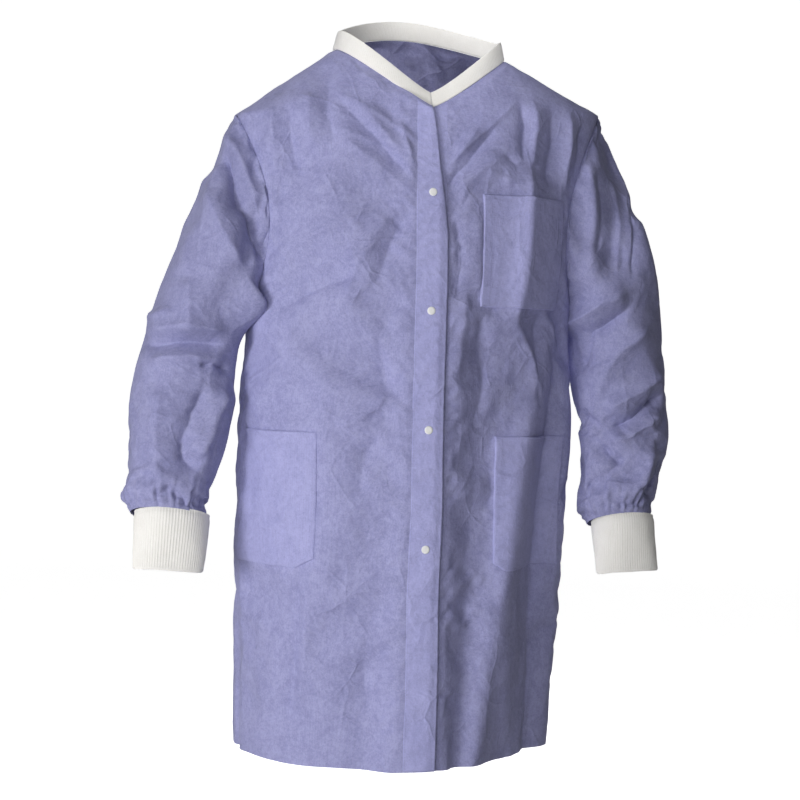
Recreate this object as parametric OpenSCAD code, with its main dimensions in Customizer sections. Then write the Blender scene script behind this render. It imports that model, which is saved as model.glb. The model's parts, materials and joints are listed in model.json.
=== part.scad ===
// Knee length laboratory coat: thin cloth body, knit collar band, knit cuffs,
// press snap front, one chest pocket and two hip pockets.
// Origin at the middle of the hem, +Z up, the front faces -Y, +X is the wearer's left.
// Sides are numbered 0 for the wearer's right (-X) and 1 for the wearer's left (+X).

/* [Body] */
// Height of the back neck seam above the hem
back_neck_z = 983; // [940:1:1030]
// Height of the side neck points
side_neck_z = 950; // [930:1:965]
// Half width of the neck opening
neck_half_w = 118; // [100:1:135]
// Height of the lowest point of the front neckline
vee_z = 868; // [850:1:890]
// Height of the underarm points
underarm_z = 612; // [580:1:640]
// Half width of the body at the underarm
underarm_half_w = 222; // [205:1:235]
// Half width of the body at chest height
chest_half_w = 236; // [220:1:245]
// Half width of the body at the hips
hip_half_w = 231; // [215:1:245]
// Height of the widest part of the hips
hip_z = 430; // [380:1:460]
// Half width of the body at the hem
hem_half_w = 214; // [200:1:240]
// Front depth at the hem
hem_front = 152; // [140:1:165]
// Front depth at the waist
waist_front = 126; // [118:1:136]
// Front depth at the chest
chest_front = 113; // [106:1:120]
// Front depth at the bottom of the neckline
neck_front = 95; // [88:1:100]
// Back depth at the hem
hem_back = 158.7; // [140:0.1:170]
// Back depth at the waist
waist_back = 120; // [105:1:140]
// Back depth at the shoulder blades
blade_back = 112; // [100:1:125]
// Back depth at the neck seam
neck_back = 74; // [65:1:85]
// How far the armhole seam is cut in from the side, at front and back
armhole_inset = 28; // [20:1:36]

/* [Shoulders] */
// Distance of the right shoulder tip from the middle
right_shoulder_x = 248; // [240:1:262]
// Height of the right shoulder tip
right_shoulder_z = 854; // [845:1:870]
// Distance of the left shoulder tip from the middle
left_shoulder_x = 260; // [245:1:266]
// Height of the left shoulder tip
left_shoulder_z = 882; // [865:1:890]

/* [Sleeves] */
// Outer edge of the right sleeve just below the shoulder
right_cap_x = 280; // [270:1:300]
// Outer edge of the right sleeve at the upper arm
right_upper_x = 321; // [310:1:340]
// Centre of the right elbow
right_elbow_x = 303; // [298:1:315]
// Centre of the right sleeve at mid forearm
right_fore_x = 311; // [305:1:330]
// Centre of the right wrist
right_wrist_x = 321; // [312:1:340]
// Outer edge of the left sleeve just below the shoulder
left_cap_x = 308; // [295:1:320]
// Outer edge of the left sleeve at the upper arm
left_upper_x = 345; // [330:1:355]
// Centre of the left elbow
left_elbow_x = 305; // [298:1:312]
// Centre of the left sleeve at mid forearm
left_fore_x = 312.7; // [303:0.1:318]
// Centre of the left wrist
left_wrist_x = 307; // [300:1:320]
// Height of the elbows
elbow_z = 532; // [515:1:545]
// Height of mid forearm
fore_z = 430; // [410:1:445]
// Height of the wrists, where the cuffs are sewn on
wrist_z = 322; // [310:1:340]
// Half width of a sleeve at the elbow
elbow_half_w = 63; // [55:1:64]
// Half width of a sleeve at mid forearm
fore_half_w = 65; // [55:1:66]
// Half width of a sleeve at the wrist
wrist_half_w = 48; // [44:1:54]
// Half depth of a sleeve at the elbow
elbow_half_d = 62; // [54:1:66]
// Half depth of a sleeve at the wrist
wrist_half_d = 36; // [32:1:42]
// How far the right wrist hangs in front of the shoulder
right_wrist_forward = 54; // [30:1:70]
// How far the left wrist hangs in front of the shoulder
left_wrist_forward = 36; // [30:1:70]
// Forward lean of the wrists in degrees
wrist_lean = 22; // [10:1:30]

/* [Knit] */
// Width of the collar band
collar_w = 26; // [20:1:32]
// Thickness of the collar band and the cuffs
knit_t = 2; // [1.4:0.1:2.6]
// Length of a cuff along the arm
cuff_l = 74; // [60:1:85]
// Half width of a cuff at its open end
cuff_half_w = 43; // [38:1:46]
// Half depth of a cuff at its open end, where it hangs nearly flat
cuff_half_d = 15; // [10:1:28]

/* [Front opening] */
// Thickness of one layer of cloth
cloth_t = 0.6; // [0.5:0.1:0.8]
// Width of the stitched placket strips
placket_w = 41; // [36:1:44]
// Drop of the slanting top of each free edge below the neckline
edge_drop = 164; // [120:1:200]
// Distance of the fold lines from the middle, at the neckline
fold_top_x = 62; // [60:1:64]
// Distance of the fold lines from the middle, at the hem
fold_hem_x = 84; // [76:1:90]
// Number of snaps down the front
snap_n = 4; // [3:1:5]
// Height of the top snap
snap_top_z = 754; // [735:1:770]
// Distance from one snap to the next
snap_pitch = 155; // [130:1:160]
// Diameter of the snap caps
cap_d = 10.7; // [10:0.1:11.5]
// Diameter of the sockets and of the stud flanges
ring_d = 10; // [9.4:0.1:10.4]
// Diameter of the stud knobs
knob_d = 4.8; // [4.4:0.1:5]
// Diameter of the snap posts
post_d = 2.4; // [2:0.1:2.6]

/* [Pockets] */
// Inner edge of the chest pocket
chest_pocket_x = 71; // [68:1:80]
// Outer edge of the chest pocket
chest_pocket_out = 193; // [180:1:200]
// Bottom of the chest pocket
chest_pocket_z = 608; // [595:1:620]
// Height of the chest pocket
chest_pocket_h = 148; // [130:1:152]
// Inner edge of the right hip pocket
right_pocket_x = 142; // [125:1:150]
// Inner edge of the left hip pocket
left_pocket_x = 106; // [104:1:125]
// Bottom of the hip pockets
hip_pocket_z = 258; // [240:1:270]
// Height of the hip pockets
hip_pocket_h = 178; // [160:1:190]

/* [Hidden] */
$fn = 48;
cloth_c = [0.55, 0.56, 0.78];
knit_c = [0.93, 0.93, 0.9];
snap_c = [0.96, 0.96, 0.96];
n_front = 2.15;
n_back = 2.4;
shoulder_x = [right_shoulder_x, left_shoulder_x];
shoulder_z = [right_shoulder_z, left_shoulder_z];
cap_x = [right_cap_x, left_cap_x];
upper_x = [right_upper_x, left_upper_x];
elbow_x = [right_elbow_x, left_elbow_x];
fore_x = [right_fore_x, left_fore_x];
wrist_x = [right_wrist_x, left_wrist_x];
wrist_forward = [right_wrist_forward, left_wrist_forward];
fold_top_z = vee_z + (side_neck_z - vee_z) * pow(fold_top_x / neck_half_w, 1.18);
// Layers over the snaps, measured outward from the body surface.
gap = 0.2;
strip_t = 0.8;
flange_t = 0.8;
socket_h = 2.8;
base_t = 0.8;
flange_z = cloth_t + 2 * gap + strip_t;
socket_z = flange_z + flange_t + gap;
lift = socket_z + socket_h + gap;
cap_z = lift + cloth_t + gap + strip_t + 0.05;
half_strip = placket_w / 2;

function mix(a, b, t) = a + (b - a) * t;
function clip(t) = min(1, max(0, t));
function ease(t) = let(c = clip(t)) c * c * (3 - 2 * c);
function sgn(s) = s == 0 ? -1 : 1;

// Smooth curve through stations [position, value].
function seg(z, s, i = 0) = (i >= len(s) - 2 || z < s[i + 1][0]) ? i : seg(z, s, i + 1);
function slope(s, i) = let(a = s[max(i - 1, 0)], b = s[min(i + 1, len(s) - 1)])
  (b[1] - a[1]) / (b[0] - a[0]);
function curve(z, s) = let(i = seg(z, s), h = s[i + 1][0] - s[i][0],
  t = clip((z - s[i][0]) / h), m = slope(s, i) * h, k = slope(s, i + 1) * h)
  s[i][1] * (2 * t * t * t - 3 * t * t + 1) + m * (t * t * t - 2 * t * t + t)
  + s[i + 1][1] * (3 * t * t - 2 * t * t * t) + k * (t * t * t - t * t);

// Body envelope: half width, front depth and back depth at height z.
function half_w(s, z) = z > shoulder_z[s]
  ? mix(shoulder_x[s], neck_half_w, (z - shoulder_z[s]) / (side_neck_z - shoulder_z[s]))
  : curve(z, [[0, hem_half_w], [hip_z, hip_half_w], [underarm_z, underarm_half_w],
      [(underarm_z + shoulder_z[s]) / 2, chest_half_w], [shoulder_z[s], shoulder_x[s]]]);
function front_d(z) = curve(z, [[0, hem_front], [hip_z, mix(waist_front, hem_front, 0.38)],
  [underarm_z, waist_front], [snap_top_z, chest_front], [vee_z, neck_front],
  [side_neck_z, 0.65 * neck_front]]);
function back_d(z) = curve(z, [[0, hem_back], [250, mix(waist_back, hem_back, 0.75)],
  [520, waist_back], [700, waist_back + 2], [850, blade_back], [back_neck_z, neck_back]]);
function front_y(s, x, z) =
  -front_d(z) * pow(max(0, 1 - pow(min(1, abs(x) / half_w(s, z)), n_front)), 1 / n_front);

// Edge lines of the cloth pieces.
function armhole_x(s, z) = half_w(s, z) - ((z > underarm_z && z < shoulder_z[s])
  ? armhole_inset * sin(180 * (z - underarm_z) / (shoulder_z[s] - underarm_z)) : 0);
function neck_x(z) = neck_half_w * pow(clip((z - vee_z) / (side_neck_z - vee_z)), 1 / 1.18);
function neck_z(x) = vee_z + (side_neck_z - vee_z) * pow(abs(x) / neck_half_w, 1.18);
function fold_x(z) = mix(fold_hem_x, fold_top_x, z / fold_top_z);
function edge_z(s, v) = v < 0.62 ? underarm_z * v / 0.62
  : v < 0.87 ? mix(underarm_z, shoulder_z[s], (v - 0.62) / 0.25)
  : mix(shoulder_z[s], side_neck_z, (v - 0.87) / 0.13);
function back_mid_z(v) = v < 0.62 ? underarm_z * v / 0.62
  : v < 0.87 ? mix(underarm_z, 866, (v - 0.62) / 0.25)
  : mix(866, back_neck_z, (v - 0.87) / 0.13);

// Point of the body surface: n is the roundness, d the signed depth, a the turn angle.
function body_pt(s, z, a, n, d) = [sgn(s) * half_w(s, z) * pow(max(0, sin(a)), 2 / n),
  d * pow(max(0, cos(a)), 2 / n), z];
function turn(s, z, x, n) = asin(clip(pow(clip(x / half_w(s, z)), n / 2)));

// Front panel: w runs from the fold line or neckline to the side, armhole or shoulder.
function panel_pt(s, w, v) = let(z = min(edge_z(s, v), side_neck_z - 11),
  xi = (z > fold_top_z ? neck_x(z) : fold_x(z)) + 0.7,
  a0 = turn(s, z, xi, n_front), a1 = min(89.9, turn(s, z, armhole_x(s, z), n_front)))
  body_pt(s, z, mix(a0, a1, w), n_front, -front_d(z));

// Back panel half: w runs from the middle to the side, armhole or shoulder.
function back_half(s, w, v) = let(ze = edge_z(s, v),
  a1 = min(89.9, turn(s, ze, armhole_x(s, ze), n_back)), z = mix(back_mid_z(v), ze, w * w))
  body_pt(s, z, mix(0, a1, w), n_back, back_d(z));
function back_pt(u, v) = u < 0.5 ? back_half(0, 1 - 2 * u, v) : back_half(1, 2 * u - 1, v);

// Front flap: from the fold line (u = 0) to the strip (u = 0.5) and across it (u = 1).
// Distances from the middle are positive on the flap's own side.
function front_top(x) = x > 0 ? neck_z(x) : vee_z + 0.5 * x;
function flap_x(z, u) = u < 0.5 ? mix(fold_x(z), half_strip + 2, 2 * u)
  : mix(half_strip + 2, -half_strip, 2 * u - 1);
function flap_pt(s, u, v) = let(z = v * (front_top(flap_x(fold_top_z, u)) - 0.4),
  x = flap_x(z, u)) [sgn(s) * x, front_y(s, x, z), z];
function strip_pt(s, u, v) = let(x = mix(half_strip, -half_strip, u),
  z = 1 + v * (front_top(x) - 3)) [sgn(s) * x, front_y(s, x, z), z];

// Neck seam from the back middle (q = 0) to the bottom of the neckline (q = 1).
function seam_pt(s, q) = q < 0.5 ? back_half(s, 2 * q, 1)
  : let(x = neck_half_w * (2 - 2 * q), z = neck_z(x)) [sgn(s) * x, front_y(s, x, z), z];
function band_dir(s, q) = [-sgn(s) * 6 * sin(180 * q), mix(-2, 13, ease((q - 0.4) / 0.6)),
  mix(collar_w, 0.82 * collar_w, ease((q - 0.4) / 0.6))];
function band_pt(s, q, h) = seam_pt(s, q) + [0, 0, 0.8] + band_dir(s, q) * h;

// Sleeve rings: t runs from 0 at the armhole to 1 at the elbow and 2 at the wrist.
function outer_x(s, t) = curve(t, [[0, shoulder_x[s]], [0.3, cap_x[s]], [0.62, upper_x[s]],
  [1, elbow_x[s] + elbow_half_w], [1.5, fore_x[s] + fore_half_w], [1.85, wrist_x[s] + 56],
  [2, wrist_x[s] + wrist_half_w]]);
function outer_z(s, t) = curve(t, [[0, shoulder_z[s]], [0.3, 785], [0.62, 690],
  [1, elbow_z + 6], [1.5, fore_z + 2], [1.85, wrist_z + 32], [2, wrist_z + 2]]);
function inner_x(s, t) = curve(t, [[0, underarm_half_w + 2.5], [0.3, 232], [0.62, 237],
  [1, elbow_x[s] - elbow_half_w], [1.5, fore_x[s] - fore_half_w], [1.85, wrist_x[s] - 57],
  [2, wrist_x[s] - wrist_half_w]]);
function inner_z(s, t) = curve(t, [[0, underarm_z], [0.3, 604], [0.62, 580],
  [1, elbow_z - 4], [1.5, fore_z - 2], [1.85, wrist_z + 22], [2, wrist_z - 6]]);
function ring_d_half(t) = curve(t, [[0, 62], [0.4, 74], [1, elbow_half_d],
  [1.5, mix(wrist_half_d, elbow_half_d, 0.7)], [1.85, wrist_half_d + 8], [2, wrist_half_d]]);
function ring_y(s, t) = curve(t, [[0, 0], [0.6, 0], [1, -0.15 * wrist_forward[s]],
  [1.5, -0.55 * wrist_forward[s]], [2, -wrist_forward[s]]]);
function ring_lean(t) = curve(t, [[0, 0], [0.6, 2], [1, 8], [1.6, wrist_lean],
  [2, wrist_lean]]);
function armhole_pt(s, f) = let(z = mix(underarm_z, shoulder_z[s], (1 + cos(f)) / 2),
  x = armhole_x(s, z), r = clip(x / half_w(s, z)), b = sin(f) > 0)
  [sgn(s) * (x + 1.8), b ? -front_d(z) * pow(max(0, 1 - pow(r, n_front)), 1 / n_front)
    : back_d(z) * pow(max(0, 1 - pow(r, n_back)), 1 / n_back), z];
function ring_pt(s, t, f) = let(o = [sgn(s) * outer_x(s, t), ring_y(s, t), outer_z(s, t)],
  i = [sgn(s) * inner_x(s, t), ring_y(s, t), inner_z(s, t)], d = ring_d_half(t),
  l = ring_lean(t)) (o + i) / 2 + cos(f) * (o - i) / 2
  + sin(f) * d * [0, -cos(l), sin(l)];
function sleeve_pt(s, t, f) = let(w = ease(t / 0.35))
  (1 - w) * armhole_pt(s, f) + w * ring_pt(s, max(t, 0.001), f);

// Cuff: h runs from 0 at the wrist seam to 1 at the open end.
function cuff_pt(s, h, f) = let(c = [sgn(s) * (wrist_x[s] + (s == 0 ? 10 : 1) * h),
  -wrist_forward[s] - cuff_l * sin(wrist_lean) * h - 0.4,
  wrist_z - 2.8 - cuff_l * cos(wrist_lean) * h], w = mix(wrist_half_w - 1, cuff_half_w, ease(h * 2)))
  c + cos(f) * w * [sgn(s), 0, 0.06]
  + sin(f) * mix(wrist_half_d - 2, cuff_half_d, ease(h)) * [0, -cos(wrist_lean), sin(wrist_lean)];

// Unit normal and offset of a surface given by a function of u and v.
function unit(a) = a / max(0.000001, norm(a));
function normal(f, u, v, e = 0.004) = unit(cross(f(u + e, v) - f(u - e, v),
  f(u, min(1, v + e)) - f(u, max(0, v - e))));
function steps(n) = [for (i = [0 : n]) i / n];

// Thin closed shell over the surface f, from offset lo to offset hi along its normal.
// Columns run along u, rows along v; a wrapped shell is closed round u.
// The side is 1 where the normal of f points out of the coat and -1 where it points in.
module shell(f, us, vs, lo, hi, side = 1, wrap = false) {
  n = len(us);
  m = len(vs);
  pts = [for (k = [0, 1]) for (v = vs) for (u = us) let(p = f(u, v), d = normal(f, u, v))
    p + side * [d.x, d.y, d.z * clip(p.z / 30)] * (k == 0 ? hi(u) : lo(u))];
  id = function(k, j, i) k * n * m + j * n + (i % n);
  cols = wrap ? n - 1 : n - 2;
  skin = [for (j = [0 : m - 2]) for (i = [0 : cols]) each [
    [id(0, j, i), id(0, j + 1, i), id(0, j + 1, i + 1)],
    [id(0, j, i), id(0, j + 1, i + 1), id(0, j, i + 1)],
    [id(1, j, i), id(1, j + 1, i + 1), id(1, j + 1, i)],
    [id(1, j, i), id(1, j, i + 1), id(1, j + 1, i + 1)]]];
  ends = [for (i = [0 : cols]) each [
    [id(0, 0, i), id(0, 0, i + 1), id(1, 0, i + 1)],
    [id(0, 0, i), id(1, 0, i + 1), id(1, 0, i)],
    [id(0, m - 1, i), id(1, m - 1, i + 1), id(0, m - 1, i + 1)],
    [id(0, m - 1, i), id(1, m - 1, i), id(1, m - 1, i + 1)]]];
  rims = wrap ? [] : [for (j = [0 : m - 2]) each [
    [id(0, j, 0), id(1, j, 0), id(1, j + 1, 0)],
    [id(0, j, 0), id(1, j + 1, 0), id(0, j + 1, 0)],
    [id(0, j, n - 1), id(1, j + 1, n - 1), id(1, j, n - 1)],
    [id(0, j, n - 1), id(0, j + 1, n - 1), id(1, j + 1, n - 1)]]];
  tris = concat(skin, ends, rims);
  polyhedron(pts, side < 0 ? [for (t = tris) [t[0], t[2], t[1]]] : tris, convexity = 8);
}

// Front panel of side s, lying on the body surface.
module front_panel(s) {
  shell(function(u, v) panel_pt(s, u, v), steps(11), steps(32),
    function(u) 0, function(u) cloth_t, sgn(s));
}

// One frame on each snap, its z axis pointing out of the coat from the body surface.
module at_snaps() {
  for (i = [0 : snap_n - 1]) {
    z = snap_top_z - i * snap_pitch;
    translate([0, -front_d(z), z])
      rotate([90 + atan2(front_d(z + 5) - front_d(z - 5), 10), 0, 0])
        children();
  }
}

module post_holes() {
  at_snaps()
    translate([0, 0, -10])
      cylinder(d = post_d + 0.2, h = 30);
}

// Corner taken off a front, so that its free edge slants down from the bottom of the neckline.
module corner_cut(s) {
  rotate([90, 0, 0])
    linear_extrude(200)
      polygon([[0, vee_z + 8], [0, vee_z],
        [-sgn(s) * (half_strip + 1), vee_z - edge_drop * (1 + 1 / half_strip)],
        [-sgn(s) * (half_strip + 1), vee_z + 8]]);
}

// Inner part of a front, folding outward on its fold line when the coat is opened.
// The right one (s = 0) climbs over the left one and over the snaps between them.
module front_flap(s) {
  climb = s == 0 ? lift : 0;
  across = (half_strip + 2) / (2 * half_strip + 2);
  mid = 7 / (4 * half_strip + 4);
  difference() {
    shell(function(u, v) flap_pt(s, u, v),
      [0, 0.17, 0.33, 0.5, 0.5 + across / 2 - mid, 0.5 + across / 2 + mid, 1], steps(32),
      function(u) climb * ease(2 * u), function(u) climb * ease(2 * u) + cloth_t, -sgn(s));
    post_holes();
    corner_cut(s);
  }
}

// Facing strip stitched along the free edge of a front.
module placket(s) {
  base = (s == 0 ? lift : 0) + cloth_t + gap;
  mid = 7 / placket_w;
  difference() {
    shell(function(u, v) strip_pt(s, u, v), [0, 0.5 - mid, 0.5 + mid, 1], steps(32),
      function(u) base, function(u) base + strip_t, -sgn(s));
    post_holes();
    corner_cut(s);
  }
}

// Front end of the collar band, from the fold line to the bottom of the neckline.
module collar_end(s) {
  q0 = 1 - fold_top_x / neck_half_w / 2 + 0.002;
  shell(function(u, v) band_pt(s, mix(q0, 0.997, u), v), steps(8), steps(3),
    function(u) -knit_t / 2, function(u) knit_t / 2, -sgn(s));
}

// Patch pocket lying on a front panel between x0 and x1, bottom z0, height h.
module pocket(s, x0, x1, z0, h) {
  f = function(u, v) let(z = z0 + v * h, a = mix(turn(s, z, x0, n_front),
    turn(s, z, x1, n_front), u)) body_pt(s, z, a, n_front, -front_d(z));
  shell(f, steps(9), steps(8), function(u) cloth_t + 0.8, function(u) 2 * cloth_t + 0.8, sgn(s));
}

// Length of sleeve of side s from ring t0 to ring t1.
module sleeve(s, t0, t1, rows) {
  shell(function(u, v) sleeve_pt(s, mix(t0, t1, v), 360 * u),
    [for (i = [0 : 27]) i / 28], steps(rows), function(u) -cloth_t, function(u) 0,
    sgn(s), true);
}

module cuff(s) {
  shell(function(u, v) cuff_pt(s, v, 360 * u), [for (i = [0 : 27]) i / 28], steps(5),
    function(u) -knit_t, function(u) 0, sgn(s), true);
}

module back_panel() {
  color(cloth_c) shell(function(u, v) back_pt(u, v), steps(22), steps(32),
    function(u) 0, function(u) cloth_t, -1);
}

module right_front_panel() {
  color(cloth_c) front_panel(0);
}

module left_front_panel() {
  color(cloth_c) front_panel(1);
}

module right_front_flap() {
  color(cloth_c) front_flap(0);
}

module left_front_flap() {
  color(cloth_c) front_flap(1);
}

module right_placket() {
  color(cloth_c) placket(0);
}

module left_placket() {
  color(cloth_c) placket(1);
}

// Collar band round the neck from the right fold line to the left one.
module collar_back() {
  q1 = 1 - fold_top_x / neck_half_w / 2 - 0.002;
  f = function(u, v) u < 0.5 ? band_pt(0, q1 * (1 - 2 * u), v) : band_pt(1, q1 * (2 * u - 1), v);
  color(knit_c) shell(f, steps(44), steps(3), function(u) -knit_t / 2,
    function(u) knit_t / 2, -1);
}

module collar_right() {
  color(knit_c) collar_end(0);
}

module collar_left() {
  color(knit_c) collar_end(1);
}

module chest_pocket() {
  color(cloth_c) pocket(1, chest_pocket_x, chest_pocket_out, chest_pocket_z, chest_pocket_h);
}

module right_hip_pocket() {
  color(cloth_c) pocket(0, right_pocket_x, hem_half_w + 13, hip_pocket_z, hip_pocket_h);
}

module left_hip_pocket() {
  color(cloth_c) pocket(1, left_pocket_x, hem_half_w + 6, hip_pocket_z, hip_pocket_h);
}

module right_sleeve_upper() {
  color(cloth_c) sleeve(0, 0, 0.997, 11);
}

module right_sleeve_lower() {
  color(cloth_c) sleeve(0, 1.003, 2, 10);
}

module left_sleeve_upper() {
  color(cloth_c) sleeve(1, 0, 0.997, 11);
}

module left_sleeve_lower() {
  color(cloth_c) sleeve(1, 1.003, 2, 10);
}

module right_cuff() {
  color(knit_c) cuff(0);
}

module left_cuff() {
  color(knit_c) cuff(1);
}

// Snap caps: domed head outside the right front, post through it, flared end in the socket.
module snap_caps() {
  color(snap_c) at_snaps() {
    translate([0, 0, cap_z])
      rotate_extrude()
        polygon([[0, 0], [cap_d / 2, 0], [cap_d / 2, 0.6], [cap_d / 2 - 0.6, 1.05],
          [cap_d / 2 - 2, 1.3], [0, 1.3]]);
    translate([0, 0, lift - gap - base_t - 0.1])
      cylinder(d = post_d, h = cap_z - lift + gap + base_t + 0.2);
    translate([0, 0, lift - gap - base_t - 0.3])
      cylinder(d = post_d + 1.2, h = 0.25);
  }
}

// Sockets: rings behind the right front with a round well for the stud.
module snap_sockets() {
  color(snap_c) at_snaps()
    difference() {
      translate([0, 0, socket_z])
        cylinder(d = ring_d, h = socket_h);
      translate([0, 0, socket_z - 1])
        cylinder(d = knob_d + 0.6, h = socket_h - base_t + 1);
      translate([0, 0, socket_z])
        cylinder(d = post_d + 0.2, h = socket_h + 1);
    }
}

// Studs: flange on the left placket with a round knob that presses into the socket.
module snap_studs() {
  color(snap_c) at_snaps()
    difference() {
      union() {
        translate([0, 0, flange_z])
          cylinder(d = ring_d, h = flange_t);
        translate([0, 0, flange_z + 0.1])
          cylinder(d = knob_d, h = flange_t + 1.3);
      }
      cylinder(d = post_d + 0.2, h = 10);
    }
}

// Snap backs: flat head inside the left front, post through it and through the stud.
module snap_backs() {
  top = flange_z + flange_t + 1.45;
  color(snap_c) at_snaps() {
    translate([0, 0, -1.6])
      cylinder(d = cap_d, h = 1.3);
    translate([0, 0, -0.6])
      cylinder(d = post_d, h = top + 0.7);
    translate([0, 0, top])
      cylinder(d = post_d + 1.2, h = 0.2);
  }
}

back_panel();
right_front_panel();
left_front_panel();
right_front_flap();
left_front_flap();
right_placket();
left_placket();
collar_back();
collar_right();
collar_left();
chest_pocket();
right_hip_pocket();
left_hip_pocket();
right_sleeve_upper();
right_sleeve_lower();
left_sleeve_upper();
left_sleeve_lower();
right_cuff();
left_cuff();
snap_caps();
snap_sockets();
snap_studs();
snap_backs();
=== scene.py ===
"""Visual model of a knee length laboratory coat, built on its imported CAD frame.

Every cloth piece is a dense grid laid on the same body and sleeve shapes as the CAD solids,
then given its large drape, a short cloth simulation, placed folds and a fine crinkle. All
lengths are in metres unless a name or comment says millimetres. +Z is up, the coat faces -Y
and +X is the wearer's left; RIGHT and LEFT are the wearer's.
"""
import json
import math

import bmesh
import bpy
import numpy as np
from mathutils import Matrix, Vector


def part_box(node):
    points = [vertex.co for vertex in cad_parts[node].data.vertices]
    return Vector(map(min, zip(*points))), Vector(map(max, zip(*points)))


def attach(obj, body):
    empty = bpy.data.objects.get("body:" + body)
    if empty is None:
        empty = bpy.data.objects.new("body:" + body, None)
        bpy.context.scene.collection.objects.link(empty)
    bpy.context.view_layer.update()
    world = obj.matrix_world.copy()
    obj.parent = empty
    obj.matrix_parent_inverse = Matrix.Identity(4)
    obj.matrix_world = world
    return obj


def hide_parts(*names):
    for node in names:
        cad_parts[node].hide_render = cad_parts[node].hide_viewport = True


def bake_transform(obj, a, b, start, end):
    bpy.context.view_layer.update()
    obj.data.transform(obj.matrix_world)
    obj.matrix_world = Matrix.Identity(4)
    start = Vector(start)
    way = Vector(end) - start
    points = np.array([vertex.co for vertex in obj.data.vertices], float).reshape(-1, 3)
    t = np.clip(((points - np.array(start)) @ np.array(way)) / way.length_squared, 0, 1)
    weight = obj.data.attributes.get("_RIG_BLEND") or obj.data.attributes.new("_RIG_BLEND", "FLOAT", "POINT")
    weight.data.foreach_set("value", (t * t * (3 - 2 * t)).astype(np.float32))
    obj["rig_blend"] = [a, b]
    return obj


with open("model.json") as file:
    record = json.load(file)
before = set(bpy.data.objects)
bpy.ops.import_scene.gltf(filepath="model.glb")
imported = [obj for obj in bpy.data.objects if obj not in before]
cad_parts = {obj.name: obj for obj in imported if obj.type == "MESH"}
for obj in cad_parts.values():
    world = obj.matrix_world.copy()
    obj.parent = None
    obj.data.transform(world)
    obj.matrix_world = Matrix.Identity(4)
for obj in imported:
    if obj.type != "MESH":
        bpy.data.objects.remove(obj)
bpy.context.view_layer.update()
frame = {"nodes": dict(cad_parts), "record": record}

RIGHT, LEFT = 0, 1
SIGN = (-1.0, 1.0)
ARM = ("right", "left")

# ---------------------------------------------------------------- shape of the coat
# _Z are heights above the hem, _HALF half widths, and the names ending in FRONT or BACK are
# depths of the rounded body outline before and behind the middle plane. A number taken off a
# CAD value steps from the solid's edge to the body line that it was laid on.
back_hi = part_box("back_panel")[1]
joints = {j["name"]: j for j in frame["record"]["behaviour"]["joints"]}

BACK_NECK_Z = back_hi.z
SIDE_NECK_Z = 0.950
NECK_HALF = 0.118
VEE_Z = 0.868
NECK_BOW = 1.18
UNDERARM_Z = 0.612
UNDERARM_HALF = 0.222
CHEST_HALF = 0.236
HIP_Z = 0.430
HIP_HALF = 0.231
HEM_HALF = 0.214
HEM_FRONT = 0.152
WAIST_FRONT = 0.126
CHEST_FRONT = 0.113
NECK_FRONT = 0.095
HEM_BACK = back_hi.y - 0.0006
WAIST_BACK = 0.120
BLADE_BACK = 0.112
NECK_BACK = 0.074
CHEST_Z = 0.754
ARMHOLE_INSET = 0.028
ROUND_FRONT = 2.15
ROUND_BACK = 2.4
SHOULDER = [(abs(joints[n]["pos_m"][0]) - 0.0007, joints[n]["pos_m"][2] - 0.0002)
            for n in ("right_shoulder_raise", "left_shoulder_raise")]
HALF_STRIP = 0.0205
EDGE_SLANT = 0.164 / HALF_STRIP
FOLD_TOP_X, FOLD_HEM_X = 0.062, 0.084
FOLD_TOP_Z = VEE_Z + (SIDE_NECK_Z - VEE_Z) * (FOLD_TOP_X / NECK_HALF) ** NECK_BOW
UNDERARM_V, SHOULDER_V = 0.62, 0.87   # share of the back grid's rows below each line
BACK_MID_Z = 0.866                    # back middle's height in the row of the shoulder line
LIFT = 0.0058                         # right front over left front
CLOTH_T = 0.0006
MM = 0.001


def mix(a, b, t):
    return a + (b - a) * t


def ease(t):
    t = np.clip(t, 0.0, 1.0)
    return t * t * (3 - 2 * t)


def hill(x, centre, half):
    """Rounded bump of height 1 at the centre."""
    return np.exp(-(((x - centre) / half) ** 2))


def unit(a):
    return a / np.linalg.norm(a, axis=-1, keepdims=True)


def curve(z, stations):
    """Smooth curve through (position, value) stations."""
    xs = np.array([s[0] for s in stations], float)
    ys = np.array([s[1] for s in stations], float)
    lo = np.maximum(np.arange(len(xs)) - 1, 0)
    hi = np.minimum(np.arange(len(xs)) + 1, len(xs) - 1)
    slope = (ys[hi] - ys[lo]) / (xs[hi] - xs[lo])
    z = np.asarray(z, float)
    i = np.clip(np.searchsorted(xs, z, side="right") - 1, 0, len(xs) - 2)
    h = xs[i + 1] - xs[i]
    t = np.clip((z - xs[i]) / h, 0.0, 1.0)
    return (ys[i] * (2 * t**3 - 3 * t**2 + 1) + slope[i] * h * (t**3 - 2 * t**2 + t)
            + ys[i + 1] * (3 * t**2 - 2 * t**3) + slope[i + 1] * h * (t**3 - t**2))


def half_w(side, z):
    """Half width of the body at height z; above the shoulder point it follows the shoulder ridge."""
    sx, sz = SHOULDER[side]
    body = curve(z, [(0, HEM_HALF), (HIP_Z, HIP_HALF), (UNDERARM_Z, UNDERARM_HALF),
                     ((UNDERARM_Z + sz) / 2, CHEST_HALF), (sz, sx)])
    ridge = mix(sx, NECK_HALF, (z - sz) / (SIDE_NECK_Z - sz))
    return np.where(z > sz, ridge, body)


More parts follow.
